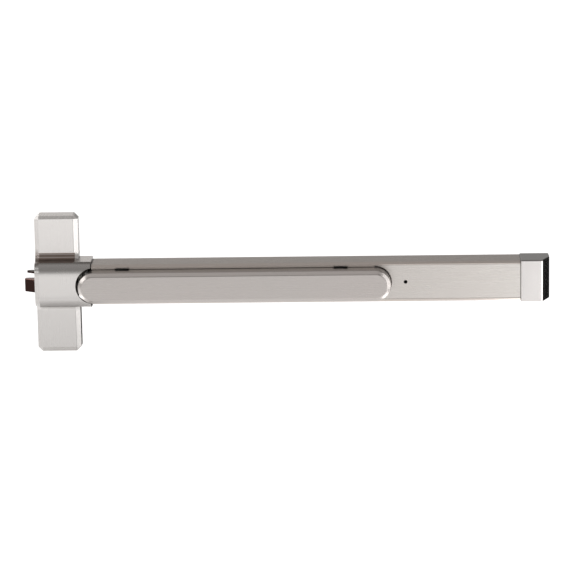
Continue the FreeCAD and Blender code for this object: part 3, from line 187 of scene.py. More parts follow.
class Strand:
    def __init__(self, bench, socket):
        self.bench, self.socket = bench, socket

    def maths(self, operation, *values):
        node = self.bench.add("ShaderNodeMath", {"operation": operation}, dict(enumerate(values)))
        return Strand(self.bench, node.outputs[0])

    def __add__(self, other): return self.maths("ADD", self, other)
    def __radd__(self, other): return self.maths("ADD", other, self)
    def __sub__(self, other): return self.maths("SUBTRACT", self, other)
    def __rsub__(self, other): return self.maths("SUBTRACT", other, self)
    def __mul__(self, other): return self.maths("MULTIPLY", self, other)
    def __rmul__(self, other): return self.maths("MULTIPLY", other, self)
    def __truediv__(self, other): return self.maths("DIVIDE", self, other)
    def __rtruediv__(self, other): return self.maths("DIVIDE", other, self)
    def __neg__(self): return self.maths("MULTIPLY", self, -1.0)

    def clamped(self):
        held = self.maths("ADD", self, 0.0)
        held.socket.node.use_clamp = True
        return held


class Bench:
    def __init__(self, tree, coordinates="Object"):
        self.tree = tree
        self.place = Strand(self, self.add("ShaderNodeTexCoord").outputs[coordinates])

    def feed(self, socket, value):
        if isinstance(value, Strand):
            self.tree.links.new(value.socket, socket)
        elif isinstance(value, (tuple, list)) and len(value) == 3 and socket.type == "RGBA":
            socket.default_value = (*value, 1.0)
        else:
            socket.default_value = value

    def add(self, kind, settings=None, values=None):
        node = self.tree.nodes.new(kind)
        for name, value in (settings or {}).items():
            if name == "stops":
                ramp = node.color_ramp
                while len(ramp.elements) < len(value):
                    ramp.elements.new(0.5)
                for element, (position, colour) in zip(ramp.elements, value):
                    element.position = position
                    element.color = (*colour, 1.0)
            else:
                setattr(node, name, value)
        for name, value in (values or {}).items():
            self.feed(node.inputs[name], value)
        return node

    def noise(self, scale, size=1.0, detail=3.0, rough=0.5):
        stretched = self.add("ShaderNodeMapping", None, {"Vector": self.place, "Scale": scale})
        node = self.add("ShaderNodeTexNoise", None, {"Vector": Strand(self, stretched.outputs[0]), "Scale": size,
                                                     "Detail": detail, "Roughness": rough})
        return Strand(self, node.outputs["Fac"])

    def axes(self):
        # x, y and z of the place on the piece
        parts = self.add("ShaderNodeSeparateXYZ", None, {"Vector": self.place})
        return [Strand(self, parts.outputs[axis]) for axis in "XYZ"]

    def mix(self, share, first, second):
        node = self.add("ShaderNodeMix", {"data_type": "RGBA"})
        self.feed(node.inputs[0], share)
        self.feed(node.inputs[6], first)
        self.feed(node.inputs[7], second)
        return Strand(self, node.outputs[2])

    def scaled(self, colour, share):
        node = self.add("ShaderNodeVectorMath", {"operation": "SCALE"}, {0: colour, "Scale": share})
        return Strand(self, node.outputs[0])

    def bump(self, height, strength, distance):
        node = self.add("ShaderNodeBump", None, {"Height": height, "Strength": strength, "Distance": distance})
        return Strand(self, node.outputs[0])


class Finish(Bench):
    def __init__(self, name):
        self.material = bpy.data.materials.new(name)
        self.material.use_nodes = True
        self.material.node_tree.nodes.clear()
        super().__init__(self.material.node_tree)
        self.output = self.add("ShaderNodeOutputMaterial")
        self.shader = self.add("ShaderNodeBsdfPrincipled")
        self.tree.links.new(self.shader.outputs[0], self.output.inputs["Surface"])

    def set(self, **sockets):
        names = {"colour": "Base Color", "metal": "Metallic", "rough": "Roughness", "normal": "Normal",
                 "specular": "Specular IOR Level", "glow": "Emission Color", "shine": "Emission Strength"}
        for name, value in sockets.items():
            self.feed(self.shader.inputs[names[name]], value)
        return self.material


# satin stainless steel: fine lines along the grain scatter the light across it, and handling leaves duller patches

satin = {
    "line": {"x": (5, 1100, 1100), "z": (1100, 1100, 5)},       # stretch of the lines, per metre
    "hair": {"x": (24, 3400, 3400), "z": (3400, 3400, 24)},
    "cloud": {"x": (7, 22, 22), "z": (22, 22, 12)},
    "warm": (1.03, 0.985, 0.975), "cool": (1.0, 0.995, 0.985),   # slight casts between which the steel drifts
    "contrast": 0.06,
}


def tinted(colour, tint):
    return tuple(min(part * share, 1.0) for part, share in zip(colour, tint))


def satinSteel(name, colour, rough, paintedLight, lineDepth, direction="x", streak=0.12):
    bench = Finish(name)
    line = bench.noise(satin["line"][direction], detail=2.0)
    hair = bench.noise(satin["hair"][direction], detail=1.0)
    cloud = bench.noise(satin["cloud"][direction], detail=4.0, rough=0.6)
    drift = bench.noise((4, 9, 9), detail=1.0)
    cast = bench.mix(drift, tinted(colour, satin["warm"]), tinted(colour, satin["cool"]))
    lines = (line * 0.55 + hair * 0.25 + cloud * 0.2 - 0.5) * satin["contrast"] * 2 + 1
    dull = rough + (line - 0.5) * streak + (cloud - 0.5) * 0.10
    # the colour carries the painted light and shade that each piece's function gives
    return bench.set(colour=bench.scaled(cast, lines * paintedLight(*bench.axes())), metal=1.0, rough=dull,
                     normal=bench.bump(line * 0.5 + hair * 0.5, 1.0, lineDepth))


def platedSteel(name, colour, rough, size=60, tint=(0.9, 0.86, 0.72)):
    # plain or plated steel: a fine grain, and a slight tint in patches
    bench = Finish(name)
    cloud = bench.noise((1, 1, 1), size=size, detail=5.0, rough=0.6)
    grain = bench.noise((1, 1, 1), size=1500, detail=2.0)
    return bench.set(colour=bench.mix(cloud, tinted(colour, tint), colour), metal=1.0,
                     rough=rough + (cloud - 0.5) * 0.2, normal=bench.bump(grain, 0.3, 0.02 * mm))


def mouldedNylon(name, colour):
    bench = Finish(name)
    grain = bench.noise((1, 1, 1), size=1800, detail=3.0)
    cloud = bench.noise((1, 1, 1), size=200, detail=2.0)
    light = tuple(part * 1.6 + 0.002 for part in colour)
    return bench.set(colour=bench.mix(cloud, colour, light), metal=0.0, rough=0.5 + (grain - 0.5) * 0.2,
                     normal=bench.bump(grain, 0.4, 0.03 * mm), specular=0.2)


def above(value, limit, fade):
    # 0 up to the limit, 1 beyond it
    return ((value - limit) / fade).clamped()


def within(value, low, high, fade, fadeOut=None):
    # 1 between the two limits, 0 outside them
    return above(value, low, fade) * above(-value, -high, fadeOut or fade)


# the cover's casting: painted shade makes the hollow where the upper wing meets the saddle dark brown, but for two
# lighter lines, and the hollow is a little rougher; the faces that look up get painted light, the saddle's two turns
# get painted shade, and the whole is painted darker towards its lower end

coverTone = {
    "steel": (0.69, 0.67, 0.655), "paintedShade": (0.20, 0.155, 0.135), "fade": 1 * mm,
    # painted light: the cover grows brighter upwards and darker downwards
    "level": 0.835, "rise": 1.35,                       # brightness at mid height, and its gain per metre upwards
    "hollow": {"low": 31 * mm, "high": 42.8 * mm, "depth": 45.5 * mm, "side": 27 * mm},
    "streaks": {"at": (40.3 * mm, 36.4 * mm), "half": 1 * mm, "fade": 0.7 * mm, "share": 0.35},
    "root": {"side": 26 * mm, "low": 24 * mm, "high": 49 * mm, "depth": 46 * mm, "share": 0.75},
    "turns": {"depth": 41 * mm, "fade": 2 * mm, "upper": 14 * mm, "upperShare": 0.42, "lower": 12 * mm,
              "lowerShare": 0.20},                      # the start and the width of each turn are the same
    "paintedSheen": {"top": 96.5 * mm, "armSide": 32 * mm, "armDepth": 42 * mm, "share": 0.5},
    "edgeLine": {"x": (24.2 * mm, 25.4 * mm), "fade": 0.5 * mm, "wing": 43 * mm, "wingFade": 10 * mm, "share": 0.3},
}


def coverSteel(size):
    bench = Finish("coverSteel")
    line = bench.noise(satin["line"]["z"], detail=2.0)
    hair = bench.noise(satin["hair"]["z"], detail=1.0)
    cloud = bench.noise((26, 26, 18), detail=4.0, rough=0.6)
    x, y, z = bench.axes()
    fade, hollow, streaks, root = size["fade"], size["hollow"], size["streaks"], size["root"]
    turns, paintedSheen, edgeLine = size["turns"], size["paintedSheen"], size["edgeLine"]
    # painted shade: the hollow where the upper wing meets the saddle, with two lighter lines left in it
    dull = (within(z, hollow["low"], hollow["high"], fade) * above(y, -hollow["depth"], fade)
            * within(x, -hollow["side"], hollow["side"], fade))
    for height in streaks["at"]:
        streak = within(z, height - streaks["half"], height + streaks["half"], streaks["fade"])
        dull = dull * (1 - streak * streaks["share"])
    # painted shade around the left end of the hollow
    leftRootShade = (above(-x, root["side"], 1.5 * mm) * within(z, root["low"], root["high"], 6 * mm, 10 * mm)
                * above(y, -root["depth"], 4 * mm))
    # painted shade on the saddle's upper and lower turns
    bulge = above(-y, turns["depth"], turns["fade"])
    shoulder = above(z, turns["upper"], turns["upper"]) * bulge
    chin = above(-z, turns["lower"], turns["lower"]) * bulge
    # painted light on the faces that look up: the upper end and the arm's top
    arm = above(z, hollow["low"], fade) * above(x, paintedSheen["armSide"], fade) * above(y, -paintedSheen["armDepth"], fade)
    bright = above(z, paintedSheen["top"], fade) + arm
    # a darker line along the right edge of the wings' front faces
    wings = above(z * z, edgeLine["wing"] ** 2, edgeLine["wingFade"] ** 2)
    bevelEdge = within(x, *edgeLine["x"], edgeLine["fade"]) * wings
    # painted light and shade: brighter upwards and on the faces that look up, darker on the turns and along the edge
    # line
    level = ((size["level"] + z * size["rise"]) * (1 - shoulder * turns["upperShare"])
             * (1 - chin * turns["lowerShare"]) * (1 + bright * paintedSheen["share"]) * (1 - bevelEdge * edgeLine["share"]))
    metal = bench.scaled(size["steel"], ((line * 0.5 + hair * 0.3 + cloud * 0.2 - 0.5) * 0.10 + 1) * level)
    # how much painted shade: the hollow, and its left end
    paintedShade = ((dull + leftRootShade * root["share"]) * (0.8 + cloud * 0.4)).clamped()
    rough = 0.26 + (line - 0.5) * 0.10 + (cloud - 0.5) * 0.08 + dull * 0.08
    return bench.set(colour=bench.mix(paintedShade, metal, size["paintedShade"]), metal=1.0, rough=rough,
                     normal=bench.bump(line * 0.5 + hair * 0.5, 1.0, 0.03 * mm))


# where painted light and shade change the other steel's tone; each function gives a factor for the steel's brightness

paintedLightAt = {
    "coverEnd": 51.5 * mm, "capStart": 670.3 * mm, "capTop": 29.4 * mm,
    "padBevel": 17.4 * mm, "padStart": 50 * mm, "padDepth": 62 * mm, "boltTop": (2.4 * mm, 8 * mm),
}


def capTopShade(x, y, z):                         # painted shade: the upper face is darker
    return 1 - above(z, paintedLightAt["capTop"], 0.6 * mm) * 0.64


# painted shade in the gap beside the cap's edge
def capEdgeShade(x):
    return 1 - above(x, paintedLightAt["capStart"], 0.4 * mm) * 0.6


def railShade(x, y, z):                        # painted shade under the head cover and beside the cap's edge
    return (0.15 + above(x, paintedLightAt["coverEnd"], 1 * mm) * 0.85) * capEdgeShade(x)


def padLightAndShade(x, y, z):                         # painted light on the upper bevel, painted shade under the head cover
    under = above(-x, -paintedLightAt["padStart"], 3 * mm) * above(y, -paintedLightAt["padDepth"], 6 * mm)
    return (1 + above(z, paintedLightAt["padBevel"], 0.5 * mm) * 0.34) * (1 - under * 0.85)


def fillerRampAndShade(x, y, z):                      # brighter towards the cap, and painted shade beside the cap's edge
    return (0.60 + x * 0.50) * capEdgeShade(x)


def boltTopHighlight(x, y, z):                        # a painted highlight on the latch bolt's top
    return 1 + within(z, *paintedLightAt["boltTop"], 0.5 * mm, 1 * mm) * 8


finish = {
    "cover": coverSteel(coverTone),
    "cap": satinSteel("capSteel", (0.57, 0.561, 0.556), 0.17, capTopShade, 0.012 * mm, direction="z", streak=0.06),
    "rail": satinSteel("railSteel", (0.475, 0.442, 0.414), 0.28, railShade, 0.09 * mm),
    "pad": satinSteel("padSteel", (0.41, 0.393, 0.382), 0.28, padLightAndShade, 0.09 * mm),
    "filler": satinSteel("fillerSteel", (0.565, 0.55, 0.53), 0.28, fillerRampAndShade, 0.07 * mm),
    "bolt": satinSteel("boltSteel", (0.024, 0.013, 0.011), 0.24, boltTopHighlight, 0.012 * mm, direction="z"),
    "plate": platedSteel("zincPlate", (0.60, 0.60, 0.58), 0.38),
    "case": platedSteel("caseSteel", (0.46, 0.46, 0.45), 0.42, tint=(0.92, 0.9, 0.86)),
    "bracket": platedSteel("bracketZinc", (0.62, 0.61, 0.55), 0.36, size=90),
    "crank": platedSteel("crankSteel", (0.45, 0.45, 0.44), 0.45, size=140, tint=(0.9, 0.9, 0.88)),
    "pin": platedSteel("groundPins", (0.66, 0.66, 0.66), 0.2, size=300, tint=(0.95, 0.95, 0.95)),
    "spring": platedSteel("springWire", (0.24, 0.24, 0.25), 0.35, size=400, tint=(0.85, 0.82, 0.8)),
    "black": platedSteel("blackOxide", (0.03, 0.03, 0.032), 0.5, size=300, tint=(0.8, 0.8, 0.85)),
    "screw": platedSteel("screwSteel", (0.45, 0.45, 0.44), 0.32, size=400, tint=(0.9, 0.88, 0.84)),
    "nylon": mouldedNylon("blackNylon", (0.004, 0.004, 0.004)),
}
print("finishes ready:", len(finish))


# head cover: one strip follows the side outline, from the upper wing over the saddle to the lower wing

coverSize = {
    "width": 63.2 * mm, "top": 98.7 * mm, "bottom": -104.3 * mm,
    "wall": 18.5 * mm, "rise": 2.0 * mm, "bevel": 6.4 * mm,
    "half": 33.4 * mm, "front": 56.5 * mm, "shoulder": 16.0 * mm, "root": 9.4 * mm,
    "reach": 51.0 * mm, "skin": 2.5 * mm,
    "draft": 0.058,                          # how far the saddle's left side leans in, per metre of depth
    "cutX": 56.25 * mm, "cutRadius": 26.45 * mm, "cutDepth": (46 * mm, 80 * mm), "cutRound": 0.9 * mm,
    "notch": ((-40 * mm, -25 * mm), (-1 * mm, 28.3 * mm), (-16.3 * mm, 15.7 * mm)),      # x, depth and z
    "boreAt": (0, 8.5 * mm), "boreEnds": (-106 * mm, -100 * mm), "boreRadius": 1.8 * mm,
    "steps": 14,
}


def sweepSaddle(size):
    # the strip's cross section is selected; it is drawn down the outline by extrudes and spins
    root, turn = size["root"], size["shoulder"]
    rootDepth = size["wall"] + size["rise"] + root
    rootZ = size["half"] + root
    turnDepth, turnZ = size["front"] - turn, size["half"] - turn

    def run(depth, z):
        bpy.ops.mesh.extrude_region_move(TRANSFORM_OT_translate={"value": (0, -depth, z)})

    def bend(depth, z, angle):
        bpy.ops.mesh.spin(steps=size["steps"], angle=radians(-angle), center=(0, -depth, z), axis=(1, 0, 0))

    if size["wings"]:
        run(0, rootZ - (size["top"] - size["bevel"]))
        bend(rootDepth, rootZ, -90)
    run(turnDepth - rootDepth, 0)
    bend(turnDepth, turnZ, 90)
    run(0, -2 * turnZ)
    bend(turnDepth, -turnZ, 90)
    run(rootDepth - turnDepth, 0)
    if size["wings"]:
        bend(rootDepth, -rootZ, -90)
        run(0, size["bottom"] + size["bevel"] + rootZ)


def makeStrip(name, points):
    # a row of edges through the points, left selected in edit mode
    clearSelection()
    bpy.ops.mesh.primitive_plane_add(size=1)
    piece = bpy.context.object
    piece.name = name
    bpy.ops.object.mode_set(mode="EDIT")
    bpy.ops.mesh.select_mode(type="VERT")
    bpy.ops.mesh.select_all(action="SELECT")
    bpy.ops.mesh.merge(type="CENTER")
    bpy.ops.transform.translate(value=points[0])
    for before, after in zip(points, points[1:]):
        step = Vector(after) - Vector(before)
        bpy.ops.mesh.extrude_region_move(TRANSFORM_OT_translate={"value": step})
    bpy.ops.mesh.select_all(action="SELECT")
    return piece


def closeToDoor(test):
    # pull the chosen border straight back to the door's face
    choose("edges", lambda edge: edge.is_boundary and test(edge))
    bpy.ops.mesh.extrude_region_move()
    bpy.ops.transform.resize(value=(1, 0, 1), center_override=(0, 0, 0))


def makeHeadCover(size):
    half = size["width"] / 2
    inner = half - size["bevel"]
    front = size["wall"] + size["rise"]
    section = [(-half, size["wall"]), (-inner, front), (inner, front), (half, size["wall"])]
    top = size["top"] - size["bevel"]
    cover = makeStrip("headCover", [(x, -depth, top) for x, depth in section])
    sweepSaddle({**size, "wings": True})
    bottom = size["bottom"] + size["bevel"]
    for edgeZ, beyond in ((top, size["top"]), (bottom, size["bottom"])):    # the bevels at both ends
        choose("edges", lambda edge: all(isNear(corner.co.z, edgeZ) for corner in edge.verts))
        bpy.ops.mesh.extrude_region_move(TRANSFORM_OT_translate={"value": (0, 0, beyond - edgeZ)})
        choose("verts", lambda corner: isNear(corner.co.z, beyond) and isNear(corner.co.y, -front))
        bpy.ops.transform.translate(value=(0, size["rise"], 0))
    for side in (-1, 1):                      # each outer corner is cut across by a three-cornered facet
        for edgeZ, beyond in ((top, size["top"]), (bottom, size["bottom"])):
            choose("verts", lambda corner: isNear(corner.co.x, side * half) and isNear(corner.co.z, beyond))
            bpy.ops.mesh.delete(type="VERT")
            choose("verts", lambda corner: isNear(corner.co.x, side * half) and isNear(corner.co.z, edgeZ)
                   or isNear(corner.co.x, side * inner) and (isNear(corner.co.z, edgeZ) or isNear(corner.co.z, beyond)))
            bpy.ops.mesh.edge_face_add()
    closeToDoor(lambda edge: True)
    bpy.ops.mesh.select_all(action="SELECT")
    bpy.ops.mesh.remove_doubles(threshold=0.002 * mm)
    bpy.ops.mesh.dissolve_degenerate(threshold=0.002 * mm)
    choose("edges", lambda edge: edge.is_boundary)
    bpy.ops.mesh.edge_face_add()
    bpy.ops.mesh.select_all(action="SELECT")
    bpy.ops.mesh.normals_make_consistent(inside=False)
    mesh = bmesh.from_edit_mesh(cover.data)
    for corner in mesh.verts:                 # draft on the saddle's left side
        if corner.co.x < 0 and -corner.co.y > size["wall"]:
            corner.co.x += size["draft"] * max(-corner.co.y - front, 0)
    bmesh.update_edit_mesh(cover.data)
    bpy.ops.object.mode_set(mode="OBJECT")
    return cover


def makeSaddleArm(size):
    arm = makeStrip("saddleArm", [(x, -(size["wall"] + size["rise"] + size["root"]), size["half"])
                                  for x in (0, size["reach"])])
    sweepSaddle({**size, "wings": False})
    closeToDoor(lambda edge: abs(middle(edge).z) > size["half"] - 0.001 * mm
                and isNear(edge.verts[0].co.y, edge.verts[1].co.y))
    choose("edges", lambda edge: edge.is_boundary and isNear(middle(edge).x, 0))
    bpy.ops.mesh.edge_face_add()
    choose("edges", lambda edge: edge.is_boundary and isNear(middle(edge).x, size["reach"]))
    bpy.ops.mesh.edge_face_add()
    choose("edges", lambda edge: edge.is_boundary)
    bpy.ops.mesh.edge_face_add()
    bpy.ops.mesh.select_all(action="SELECT")
    bpy.ops.mesh.normals_make_consistent(inside=False)
    bpy.ops.object.mode_set(mode="OBJECT")
    return arm


headCover = makeHeadCover(coverSize)
cutWith(headCover, makeSaddleArm(coverSize), "UNION")
useOnly(headCover)
bpy.ops.object.mode_set(mode="EDIT")
choose("faces", lambda face: face.normal.y > 0.99 and isNear(middle(face).y, 0)
       or face.normal.x > 0.99 and isNear(middle(face).x, coverSize["reach"]))
bpy.ops.mesh.delete(type="FACE")
bpy.ops.mesh.select_all(action="SELECT")
bpy.ops.mesh.remove_doubles(threshold=0.01 * mm)
bpy.ops.mesh.dissolve_limited(angle_limit=radians(0.3))
bpy.ops.object.mode_set(mode="OBJECT")
thicken(headCover, coverSize["skin"])
cutWith(headCover, addRod("roundCut", coverSize["cutRadius"],
                          *((coverSize["cutX"], -depth, 0) for depth in coverSize["cutDepth"]), 128))
roundRim(headCover, (coverSize["cutX"], 0), coverSize["cutRadius"], coverSize["front"] - coverSize["shoulder"],
         coverSize["cutRound"])
cutWith(headCover, addBlock("boltNotch", *coverSize["notch"]))
cutBore(headCover, coverSize)
finishPiece(headCover, finish["cover"], "device", ["head_cover"])
print("head cover ready:", len(headCover.data.polygons), "faces")


# channel rail: half of its section is drawn as a strip, mirrored, and given its thickness

railSize = {
    "start": 33.5 * mm, "end": 690 * mm, "half": 29.2 * mm, "front": 46 * mm,
    "bevel": 3 * mm, "lip": 25 * mm, "skin": 2 * mm, "web": 5 * mm,
    "padLip": 22.8 * mm, "padLipStart": 52 * mm, "padLipEnd": 461.3 * mm,      # beside the pad the lips reach nearer,
    "glides": (97 * mm, 412.5 * mm), "notch": 9.8 * mm, "glideLip": 23.85 * mm,   # but for a notch at each glide
    "overlap": 0.3 * mm,
}


def makeRail(size):
    half, front = size["half"], size["front"]
    points = [(size["start"], -depth, z) for depth, z in (
        (front, size["lip"]), (front, half - size["bevel"]), (front - size["bevel"], half), (0, half))]
    rail = makeStrip("channelRail", points)
    bpy.ops.mesh.extrude_region_move(TRANSFORM_OT_translate={"value": (size["end"] - size["start"], 0, 0)})
    bpy.ops.mesh.select_all(action="SELECT")
    bpy.ops.mesh.duplicate()
    bpy.ops.transform.resize(value=(1, 1, -1), center_override=(0, 0, 0))
    bpy.ops.mesh.select_all(action="SELECT")
    bpy.ops.mesh.normals_make_consistent(inside=False)
    mesh = bmesh.from_edit_mesh(rail.data)
    for face in mesh.faces:                       # both flanges face away from the middle
        if face.normal.dot(Vector((0, -0.3, middle(face).z)).normalized()) < 0:
            face.normal_flip()
    bmesh.update_edit_mesh(rail.data)
    bpy.ops.object.mode_set(mode="OBJECT")
    thicken(rail, size["skin"])
    web = addBlock("web", (size["start"], size["end"]), (size["web"] - size["skin"], size["web"]),
                   (-half + size["skin"] / 2, half - size["skin"] / 2))
    cutWith(rail, web, "UNION")
    ends = [size["padLipStart"], *(x + side * size["notch"] for x in size["glides"] for side in (-1, 1)),
            size["padLipEnd"]]
    for side in (-1, 1):
        for start, end in zip(ends, ends[1:]):
            edge = size["glideLip"] if isNear(end - start, 2 * size["notch"]) else size["padLip"]
            cutWith(rail, addBlock("padLip", (start, end), (front - size["skin"], front),
                                   sorted((side * edge, side * (size["lip"] + size["overlap"])))), "UNION")
    return rail


channelRail = makeRail(railSize)
finishPiece(channelRail, finish["rail"], "device", ["rail_channel"], edgeRound=0.3 * mm, edgeAngle=25)
print("rail ready:", len(channelRail.data.polygons), "faces")


# push pad: a block whose four corners, seen from the front, are rounded until the ends are half circles

padSize = {
    "start": 34 * mm, "end": 484.4 * mm, "half": 22.25 * mm, "front": 75 * mm, "back": 43.5 * mm,
    "bevel": 5 * mm, "soft": 0.8 * mm, "skin": 1.6 * mm, "steps": 28,
    "shy": 0.01 * mm, "merge": 0.05 * mm,    # the corners stop just short of each other and are then merged
}


def makePad(size):
    pad = addBlock("pushPad", (size["start"], size["end"]), (size["back"], size["front"]),
                   (-size["half"], size["half"]))
    bpy.ops.object.mode_set(mode="EDIT")
    choose("edges", lambda edge: isNear(abs(edge.verts[0].co.y - edge.verts[1].co.y), size["front"] - size["back"]))
    bpy.ops.mesh.bevel(offset=size["half"] - size["shy"], segments=size["steps"], profile=0.5, affect="EDGES")
    bpy.ops.mesh.select_all(action="SELECT")
    bpy.ops.mesh.remove_doubles(threshold=size["merge"])
    choose("faces", lambda face: face.normal.y > 0.9)
    bpy.ops.mesh.delete(type="FACE")
    choose("edges", lambda edge: all(isNear(corner.co.y, -size["front"]) for corner in edge.verts))
    bpy.ops.mesh.bevel(offset=size["bevel"], segments=1, profile=0.5, affect="EDGES")
    bpy.ops.object.mode_set(mode="OBJECT")
    thicken(pad, size["skin"])
    bpy.ops.object.mode_set(mode="EDIT")
    for level in (size["front"], size["front"] - size["bevel"]):
        choose("edges", lambda edge: all(isNear(corner.co.y, -level) for corner in edge.verts)
               and edge.calc_face_angle(0) > radians(25))
        bpy.ops.mesh.bevel(offset=size["soft"], segments=4, profile=0.5, affect="EDGES")
    bpy.ops.object.mode_set(mode="OBJECT")
    return pad


pushPad = makePad(padSize)
finishPiece(pushPad, finish["pad"], "pad", ["push_pad"], edgeRound=0.3 * mm, edgeAngle=40,
            smoothAngle=20)
print("pad ready:", len(pushPad.data.polygons), "faces")


# glides: four black shoes between the pad and the rail's lips, one modelled and the others copied

glideSize = {
    "length": 18.7 * mm, "back": 44.5 * mm, "front": 51 * mm, "inner": 22.25 * mm, "outer": 23.6 * mm,
    "corner": 0.8 * mm, "rim": 1.2 * mm, "dish": 0.2 * mm,
    "places": dict(zip(("left", "right"), railSize["glides"])),
}


def makeGlide(size):
    x, half = size["places"]["left"], size["length"] / 2
    glide = addBlock("padGlideUpperLeft", (x - half, x + half), (size["back"], size["front"]),
                     (size["inner"], size["outer"]))
    bpy.ops.object.mode_set(mode="EDIT")
    choose("edges", lambda edge: isNear(abs(edge.verts[0].co.z - edge.verts[1].co.z), size["outer"] - size["inner"]))
    bpy.ops.mesh.bevel(offset=size["corner"], segments=4, affect="EDGES")
    choose("faces", lambda face: face.normal.z > 0.9)
    bpy.ops.mesh.inset(thickness=size["rim"], depth=0)
    bpy.ops.mesh.inset(thickness=size["dish"], depth=-size["dish"])
    bpy.ops.object.mode_set(mode="OBJECT")
    return glide


def placeGlide(first, level, hand):
    # a copy of the first glide, moved along the pad and, for the lower ones, mirrored
    useOnly(first)
    bpy.ops.object.duplicate()
    glide = bpy.context.object
    glide.name = f"padGlide{level}{hand.capitalize()}"
    bpy.ops.object.mode_set(mode="EDIT")
    bpy.ops.mesh.select_all(action="SELECT")
    bpy.ops.transform.translate(value=(glideSize["places"][hand] - glideSize["places"]["left"], 0, 0))
    if level == "Lower":
        bpy.ops.transform.resize(value=(1, 1, -1), center_override=(0, 0, 0))
    bpy.ops.object.mode_set(mode="OBJECT")
    return glide


glides = {("Upper", "left"): makeGlide(glideSize)}
for spot in (("Upper", "right"), ("Lower", "left"), ("Lower", "right")):
    glides[spot] = placeGlide(glides["Upper", "left"], *spot)
for (level, hand), glide in glides.items():
    finishPiece(glide, finish["nylon"], "pad", [f"pad_glide_{level.lower()}_{hand}"],
                edgeRound=0.12 * mm, edgeAngle=30)
print("glides ready:", len(glides))


# filler plate: a shallow tray between the lips, with the round cut and the key hole

fillerSize = {
    "centre": 462.15 * mm, "end": 690 * mm, "half": 24.7 * mm, "front": 46 * mm, "skin": 1.6 * mm, "wall": 5.6 * mm,
    "foot": 2.2 * mm, "cut": 23.3 * mm, "rim": 0.8 * mm, "keyX": 505.6 * mm, "keyRadius": 2.7 * mm,
    "beyond": 60 * mm, "keyFrom": 30 * mm,   # how far the two cuts reach
}


def makeFiller(size):
    half, front = size["half"], size["front"]
    back = front - size["wall"]
    points = [(back, -half - size["foot"]), (back, -half), (front, -half), (front, half), (back, half),
              (back, half + size["foot"])]
    filler = makeStrip("fillerPlate", [(size["centre"], -depth, z) for depth, z in points])
    bpy.ops.mesh.extrude_region_move(TRANSFORM_OT_translate={"value": (size["end"] - size["centre"], 0, 0)})
    bpy.ops.mesh.select_all(action="SELECT")
    bpy.ops.mesh.normals_make_consistent(inside=False)
    mesh = bmesh.from_edit_mesh(filler.data)
    if next(face for face in mesh.faces if isNear(middle(face).y, -front)).normal.y > 0:
        bpy.ops.mesh.flip_normals()
    bpy.ops.object.mode_set(mode="OBJECT")
    thicken(filler, size["skin"])
    cutWith(filler, addRod("endCut", size["cut"], (size["centre"], 0, 0), (size["centre"], -size["beyond"], 0), 128))
    roundRim(filler, (size["centre"], 0), size["cut"], front - size["skin"] / 2, size["rim"])
    cutWith(filler, addRod("keyCut", size["keyRadius"], (size["keyX"], -size["keyFrom"], 0),
                           (size["keyX"], -size["beyond"], 0), 48))
    return filler


fillerPlate = makeFiller(fillerSize)
finishPiece(fillerPlate, finish["filler"], "device", ["filler_plate"], edgeRound=0.3 * mm, edgeAngle=30)
print("filler ready:", len(fillerPlate.data.polygons), "faces")


# end cap: a block with a sloping end, rounded edges, and its hollow open to the rail and the door

capSize = {
    "start": 671.6 * mm, "end": 713.5 * mm, "half": 30.6 * mm, "front": 50 * mm, "slopeRun": 11.3 * mm,
    "slopeDepth": 26 * mm, "round": 1.6 * mm, "slopeRound": 1 * mm, "skin": 1.2 * mm, "rim": 0.6 * mm,
    "boreAt": (699.75 * mm, 11.5 * mm), "boreEnds": (-32 * mm, -28 * mm), "boreRadius": 1.8 * mm,
}


def makeCap(size):
    cap = addBlock("endCap", (size["start"], size["end"]), (0, size["front"]), (-size["half"], size["half"]))
    bpy.ops.object.mode_set(mode="EDIT")
    choose("faces", lambda face: face.normal.x > 0.9)
    bpy.ops.mesh.bisect(plane_co=(0, size["slopeDepth"] - size["front"], 0), plane_no=(0, 1, 0))
    bpy.ops.mesh.select_all(action="SELECT")
    bpy.ops.mesh.bisect(plane_co=(0, size["slopeDepth"] - size["front"], 0), plane_no=(0, 1, 0))
    choose("verts", lambda corner: isNear(corner.co.x, size["end"]) and isNear(corner.co.y, -size["front"]))
    bpy.ops.transform.translate(value=(-size["slopeRun"], 0, 0))
    choose("faces", lambda face: face.normal.y > 0.9 or face.normal.x < -0.9)
    bpy.ops.mesh.delete(type="FACE")
    choose("edges", lambda edge: edge.calc_face_angle(0) > radians(50))
    bpy.ops.mesh.bevel(offset=size["round"], segments=6, profile=0.5, affect="EDGES")
    choose("edges", lambda edge: radians(18) < edge.calc_face_angle(0) < radians(50)
           and abs(middle(edge).z) < size["half"] - size["round"] and middle(edge).x > size["end"] - size["slopeRun"])
    bpy.ops.mesh.bevel(offset=size["slopeRound"], segments=4, profile=0.5, affect="EDGES")
    bpy.ops.object.mode_set(mode="OBJECT")
    thicken(cap, size["skin"])
    bpy.ops.object.mode_set(mode="EDIT")
    choose("edges", lambda edge: all(isNear(corner.co.x, size["start"]) for corner in edge.verts)
           and any(face.normal.y < -0.05 or abs(face.normal.z) > 0.5 and face.normal.z * middle(edge).z > 0
                   for face in edge.link_faces) and edge.calc_face_angle(0) > radians(50))
    bpy.ops.mesh.bevel(offset=size["rim"], segments=4, profile=0.5, affect="EDGES")
    bpy.ops.object.mode_set(mode="OBJECT")
    cutBore(cap, size)
    return cap


endCap = makeCap(capSize)
finishPiece(endCap, finish["cap"], "device", ["end_cap"], edgeRound=0.2 * mm, edgeAngle=40,
            smoothAngle=30)
print("end cap ready:", len(endCap.data.polygons), "faces")


# the two sprung bolts: blocks with a sloping nose on the user's side

